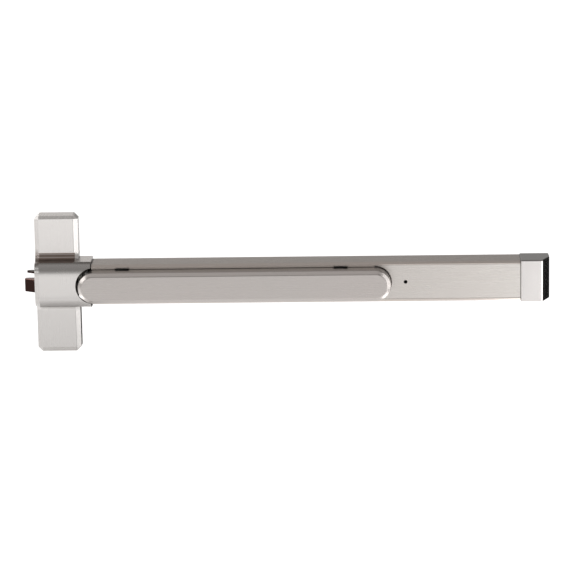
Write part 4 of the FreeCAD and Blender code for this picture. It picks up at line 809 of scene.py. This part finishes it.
boltSize = {
    "latch": {"tip": -48.6 * mm, "rear": -8 * mm, "back": 6 * mm, "front": 27.5 * mm, "blunt": 8 * mm,
              "low": -15.7 * mm, "high": 3.3 * mm, "ease": 2.5 * mm},
    "deadlatch": {"tip": -44.5 * mm, "rear": -4 * mm, "back": 8 * mm, "front": 26 * mm, "blunt": 6.5 * mm,
                  "low": 12.3 * mm, "high": 15.1 * mm, "ease": 2.5 * mm},
    "slope": 31,                             # degrees between the nose and the bolt's length
    "tail": {"radius": 1.2 * mm, "depth": 17 * mm, "z": 13.7 * mm, "x": (-5 * mm, 30.2 * mm)},
}


def makeBolt(name, size, slope):
    bolt = addBlock(name, (size["tip"], size["rear"]), (size["back"], size["front"]), (size["low"], size["high"]))
    bpy.ops.object.mode_set(mode="EDIT")
    bpy.ops.mesh.select_all(action="SELECT")
    bpy.ops.mesh.bisect(plane_co=(size["tip"], -size["back"] - size["blunt"], 0),
                        plane_no=(-sin(radians(slope)), -cos(radians(slope)), 0), use_fill=True, clear_outer=True)
    bpy.ops.mesh.select_all(action="SELECT")
    bpy.ops.mesh.bisect(plane_co=(size["tip"] + size["ease"], -size["back"], 0), plane_no=(-1, 1, 0), use_fill=True,
                        clear_outer=True)
    bpy.ops.object.mode_set(mode="OBJECT")
    return bolt


latchBolt = makeBolt("latchBolt", boltSize["latch"], boltSize["slope"])
finishPiece(latchBolt, finish["bolt"], "latch", ["latch_bolt"], edgeRound=0.6 * mm, edgeAngle=20,
            smoothAngle=25, steps=3)
deadlatch = makeBolt("deadlatchBolt", boltSize["deadlatch"], boltSize["slope"])
tail = boltSize["tail"]
cutWith(deadlatch, addRod("tail", tail["radius"], *((x, -tail["depth"], tail["z"]) for x in tail["x"]), 32), "UNION")
finishPiece(deadlatch, finish["bolt"], "deadlatch", ["deadlatch_bolt"], edgeRound=0.35 * mm,
            edgeAngle=20, smoothAngle=25)
print("bolts ready")


# trim screws below: a pan head with a cross recess, on shanks of two lengths

screwSize = {
    "head": 3.2 * mm, "height": 1.8 * mm, "round": 1 * mm, "shank": 1.58 * mm,
    "recess": 0.8 * mm, "slotLong": 1.7 * mm, "slotWide": 0.35 * mm, "below": 0.2 * mm,
    "cover": (*coverSize["boreAt"], coverSize["bottom"], -96.1 * mm),      # x, depth, the head's seat, the shank's end
    "cap": (*capSize["boreAt"], -capSize["half"], -21 * mm),
}


def makeScrew(name, size, x, depth, seat, end):
    screw = addRod(name, size["head"], (x, -depth, seat - size["height"]), (x, -depth, seat), 40)
    bpy.ops.object.mode_set(mode="EDIT")
    choose("edges", lambda edge: all(isNear(corner.co.z, seat - size["height"]) for corner in edge.verts))
    bpy.ops.mesh.bevel(offset=size["round"], segments=5, profile=0.6, affect="EDGES")
    choose("faces", lambda face: face.normal.z > 0.9)
    bpy.ops.mesh.inset(thickness=size["head"] - size["shank"], depth=0)
    bpy.ops.mesh.extrude_region_move(TRANSFORM_OT_translate={"value": (0, 0, end - seat)})
    bpy.ops.object.mode_set(mode="OBJECT")
    long, wide, low = size["slotLong"], size["slotWide"], seat - size["height"] - size["below"]
    height = (low, low + size["recess"] + size["below"])
    cross = addBlock("cross", (x - long, x + long), (depth - wide, depth + wide), height)
    cutWith(cross, addBlock("bar", (x - wide, x + wide), (depth - long, depth + long), height), "UNION")
    cutWith(screw, cross)
    return screw


for spot, node in (("cover", "cover_screw"), ("cap", "end_cap_screw")):
    finishPiece(makeScrew(f"{spot}Screw", screwSize, *screwSize[spot]), finish["screw"], "device",
                [node], edgeRound=0.1 * mm, edgeAngle=35, smoothAngle=30)
print("trim screws ready")


# the two bolts' springs: a round wire wound along x

springSize = {
    "latch": {"node": "latch_spring", "radius": 5.6 * mm, "wire": 1.4 * mm, "turns": 8, "depth": 17 * mm,
              "z": -6.2 * mm, "travel": 17 * mm},          # each travel is its bolt's
    "deadlatch": {"node": "deadlatch_spring", "radius": 2.3 * mm, "wire": 0.8 * mm, "turns": 9, "depth": 17 * mm,
                  "z": 13.7 * mm, "travel": 12 * mm},
}


def makeSpring(name, size, start, end):
    rise = end - start - size["wire"]
    clearSelection()
    bpy.ops.mesh.primitive_circle_add(vertices=10, radius=size["wire"] / 2, rotation=(radians(90), 0, 0),
                                      location=(start + size["wire"] / 2, 0, size["radius"]))
    spring = bpy.context.object
    spring.name = name
    bpy.ops.object.transform_apply(location=True, rotation=True, scale=True)
    winding = spring.modifiers.new("winding", "SCREW")
    winding.axis = "X"
    winding.angle = 2 * pi * size["turns"]
    winding.screw_offset = rise
    winding.steps = winding.render_steps = 24 * size["turns"]
    bpy.ops.object.modifier_apply(modifier=winding.name)
    bpy.ops.object.mode_set(mode="EDIT")
    bpy.ops.mesh.select_all(action="SELECT")
    bpy.ops.mesh.fill_holes(sides=0)
    bpy.ops.mesh.select_all(action="SELECT")
    bpy.ops.transform.translate(value=(0, -size["depth"], size["z"]))
    bpy.ops.object.mode_set(mode="OBJECT")
    return spring


for bolt, size in springSize.items():
    start, end = (corner[0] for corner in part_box(size["node"]))
    spring = makeSpring(f"{bolt}Spring", size, start, end)
    finishPiece(spring, finish["spring"], "device", [size["node"]], edgeRound=0, smoothAngle=60)
    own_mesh(spring)
print("springs ready")


# the other nodes keep their shape and get their finish

plainNodes = {
    "plate": ["chassis_plate", "end_bracket"],
    "case": ["latch_case", "latch_case_lid", "latch_clevis"],
    "bracket": ["tie_bar", "crank_bracket_left", "crank_bracket_right", "pad_bracket_left", "pad_bracket_right",
                "dogging_bracket"],
    "crank": ["bell_crank_left", "bell_crank_right", "dogging_hook"],
    "pin": ["latch_rod", "clevis_pin", "pivot_pin_left", "pivot_pin_right", "drive_pin_left", "drive_pin_right",
            "link_pin_left", "link_pin_right"],
    "spring": ["return_spring_left", "return_spring_right", "dogging_ring"],
    "black": ["dogging_screw"],
    "screw": ["case_screws", "rail_screws", "bracket_rivets"],
}
for kind, names in plainNodes.items():
    for name in names:
        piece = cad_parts[name]
        piece.data.materials.clear()
        piece.data.materials.append(finish[kind])
print("plain nodes finished")


# studio: a pale floor, soft lamps and the camera at the photograph's angle

studio = {
    "floorZ": -450 * mm, "floorSize": 40, "floorGlow": 0.77, "floorTone": (0.8, 0.8, 0.8),
    "target": (334.45 * mm, 0, -17.73 * mm), "azimuth": 1.836, "elevation": 12.678, "roll": 0.971,
    "distance": 4.2709, "lens": 182.88, "sensor": 36, "farthest": 100,
    "skyFront": [(0.0, (0.86, 0.85, 0.84)), (0.17, (0.76, 0.75, 0.74)), (0.30, (0.56, 0.55, 0.54)),
                 (0.40, (0.44, 0.43, 0.42)), (0.72, (0.44, 0.425, 0.415)), (1.0, (0.61, 0.59, 0.58))],
    "skyBehind": [(0.0, (0.59, 0.58, 0.57)), (0.22, (0.52, 0.51, 0.50)), (0.46, (0.24, 0.22, 0.21)),
                  (0.80, (0.17, 0.155, 0.145)), (1.0, (0.58, 0.56, 0.55))],     # both by height above the horizon
    "leftMore": 0.9, "behindLevel": 1.6, "behindLeast": 0.2,                    # behind, the sky is lighter on the left
}

lamps = {                       # where it stands, what it points at, its two sides in metres, its brightness
    "right": {"place": (1.35, -1.8, -0.44), "aim": (1.35, -1.8, 1), "size": (0.9, 0.9), "glow": 2.4},
    "left": {"place": (-2.2, -0.2, 1.4), "aim": (0, 0, 0), "size": (1.8, 1.4), "glow": 2.4},
    "leftLow": {"place": (-1.5, 0.25, -0.44), "aim": (-1.5, 0.25, 1), "size": (1.6, 1.0), "glow": 0.4},
    "corner": {"place": (-1.95, -2.15, 0.95), "aim": (0, 0, 0.08), "size": (0.7, 0.6), "glow": 1.7},
    "padLeft": {"place": (-0.44, 0.14, -0.44), "aim": (-0.44, 0.14, 1), "size": (0.34, 0.3), "glow": 2.2},
    "padRight": {"place": (0.86, 0.10, -0.44), "aim": (0.86, 0.10, 1), "size": (0.4, 0.35), "glow": 2.2},
    "rightLow": {"place": (1.5, -0.36, -0.03), "aim": (0.48, -0.07, 0), "size": (0.7, 0.82), "glow": 2.0},
    "rightHigh": {"place": (3.0, -0.5, 1.8), "aim": (0.5, 0, 0), "size": (1.8, 1.8), "glow": 1.7},
}

dark, grey = [(0, 0.012), (1, 0.012)], [(0, 0.78), (1, 0.78)]
cards = {                       # cards that only the metal sees: x, depth, z, and brightness along its depth
    "behind": {"x": (0.3, 1.0), "depth": (-1.31, -1.30), "z": (-0.44, -0.03), "glow": dark},
    "behindLow": {"x": (-0.6, 0.3), "depth": (-1.31, -1.30), "z": (-0.44, -0.30), "glow": dark},
    "end": {"x": (0.95, 0.96), "depth": (-1.30, -0.09), "z": (-0.44, 0.06), "glow": dark},
    "left": {"x": (-2.2, -1.3), "depth": (1.35, 2.4), "z": (-0.442, -0.44), "glow": grey},
    "chin": {"x": (-0.09, 0.015), "depth": (-0.20, 0.60), "z": (-0.422, -0.42),      # the head's shade on the floor
             "glow": [(0.06, 0.60), (0.25, 0.68), (0.33, 0.74), (0.42, 0.80), (0.6, 0.90), (0.78, 1.0)]},
}


def makeFloor():
    clearSelection()
    bpy.ops.mesh.primitive_plane_add(size=studio["floorSize"], location=(0, 0, studio["floorZ"]))
    floor = bpy.context.object
    floor.name = "floor"
    bpy.ops.object.transform_apply(location=True, rotation=True, scale=True)
    bench = Finish("paleFloor")
    path = bench.add("ShaderNodeLightPath")
    seen = (Strand(bench, path.outputs["Is Camera Ray"]) + Strand(bench, path.outputs["Is Glossy Ray"])
            + Strand(bench, path.outputs["Is Transmission Ray"])).clamped()
    glow = bench.add("ShaderNodeEmission", None, {"Color": (1, 1, 1), "Strength": seen * studio["floorGlow"]})
    both = bench.add("ShaderNodeAddShader")
    bench.set(colour=studio["floorTone"], rough=0.9, specular=0.1)
    bench.tree.links.new(bench.shader.outputs[0], both.inputs[0])
    bench.tree.links.new(glow.outputs[0], both.inputs[1])
    bench.tree.links.new(both.outputs[0], bench.output.inputs["Surface"])
    floor.data.materials.append(bench.material)


def makeCards():
    for name, card in cards.items():
        bench = Finish(f"{name}Card")
        piece = addBlock(f"{name}Card", card["x"], card["depth"], card["z"])
        along = (-bench.axes()[1] - card["depth"][0]) / (card["depth"][1] - card["depth"][0])
        stops = [(place, (level, level * 0.98, level * 0.96)) for place, level in card["glow"]]
        ramp = bench.add("ShaderNodeValToRGB", {"stops": stops}, {"Fac": along})
        piece.data.materials.append(bench.set(colour=(0, 0, 0), rough=1.0, specular=0.0, shine=1.0,
                                              glow=Strand(bench, ramp.outputs["Color"])))
        piece.visible_camera = piece.visible_diffuse = piece.visible_shadow = False


def makeWorld():
    world = bpy.data.worlds.new("studio")
    bpy.context.scene.world = world
    world.use_nodes = True
    bench = Bench(world.node_tree, "Generated")
    parts = bench.add("ShaderNodeSeparateXYZ", None, {"Vector": bench.place})
    side, behind, height = (Strand(bench, parts.outputs[axis]) for axis in "XYZ")
    sky = [Strand(bench, bench.add("ShaderNodeValToRGB", {"stops": studio[half]}, {"Fac": height}).outputs["Color"])
           for half in ("skyFront", "skyBehind")]
    level = (0.5 - side * studio["leftMore"]).clamped() * studio["behindLevel"] + studio["behindLeast"]
    rear = bench.scaled(sky[1], level)
    share = (behind * 2 + 0.5).clamped()
    bench.feed(world.node_tree.nodes["Background"].inputs["Color"], bench.mix(share, sky[0], rear))


def makeLamps():
    for name, lamp in lamps.items():
        light = bpy.data.lights.new(name, "AREA")
        light.shape = "RECTANGLE"
        light.size, light.size_y = lamp["size"]
        light.energy = lamp["glow"] * pi * light.size * light.size_y
        stand = bpy.data.objects.new(name, light)
        bpy.context.collection.objects.link(stand)
        stand.location = lamp["place"]
        stand.rotation_euler = (Vector(lamp["aim"]) - Vector(lamp["place"])).to_track_quat("-Z", "Y").to_euler()
        stand.visible_camera = False


def makeCamera():
    turn = (Matrix.Rotation(radians(studio["azimuth"]), 4, "Z")
            @ Matrix.Rotation(radians(90 - studio["elevation"]), 4, "X")
            @ Matrix.Rotation(radians(-studio["roll"]), 4, "Z"))
    back = (turn @ Vector((0, 0, 1, 0))).to_3d()
    camera = bpy.data.objects.new("camera", bpy.data.cameras.new("camera"))
    bpy.context.collection.objects.link(camera)
    camera.data.sensor_width = studio["sensor"]
    camera.data.lens = studio["lens"]
    camera.data.clip_end = studio["farthest"]
    camera.matrix_world = Matrix.Translation(Vector(studio["target"]) + back * studio["distance"]) @ turn
    bpy.context.scene.camera = camera


makeFloor()
makeCards()
makeWorld()
makeLamps()
makeCamera()
bpy.context.scene.view_settings.view_transform = "Standard"
print("studio ready")
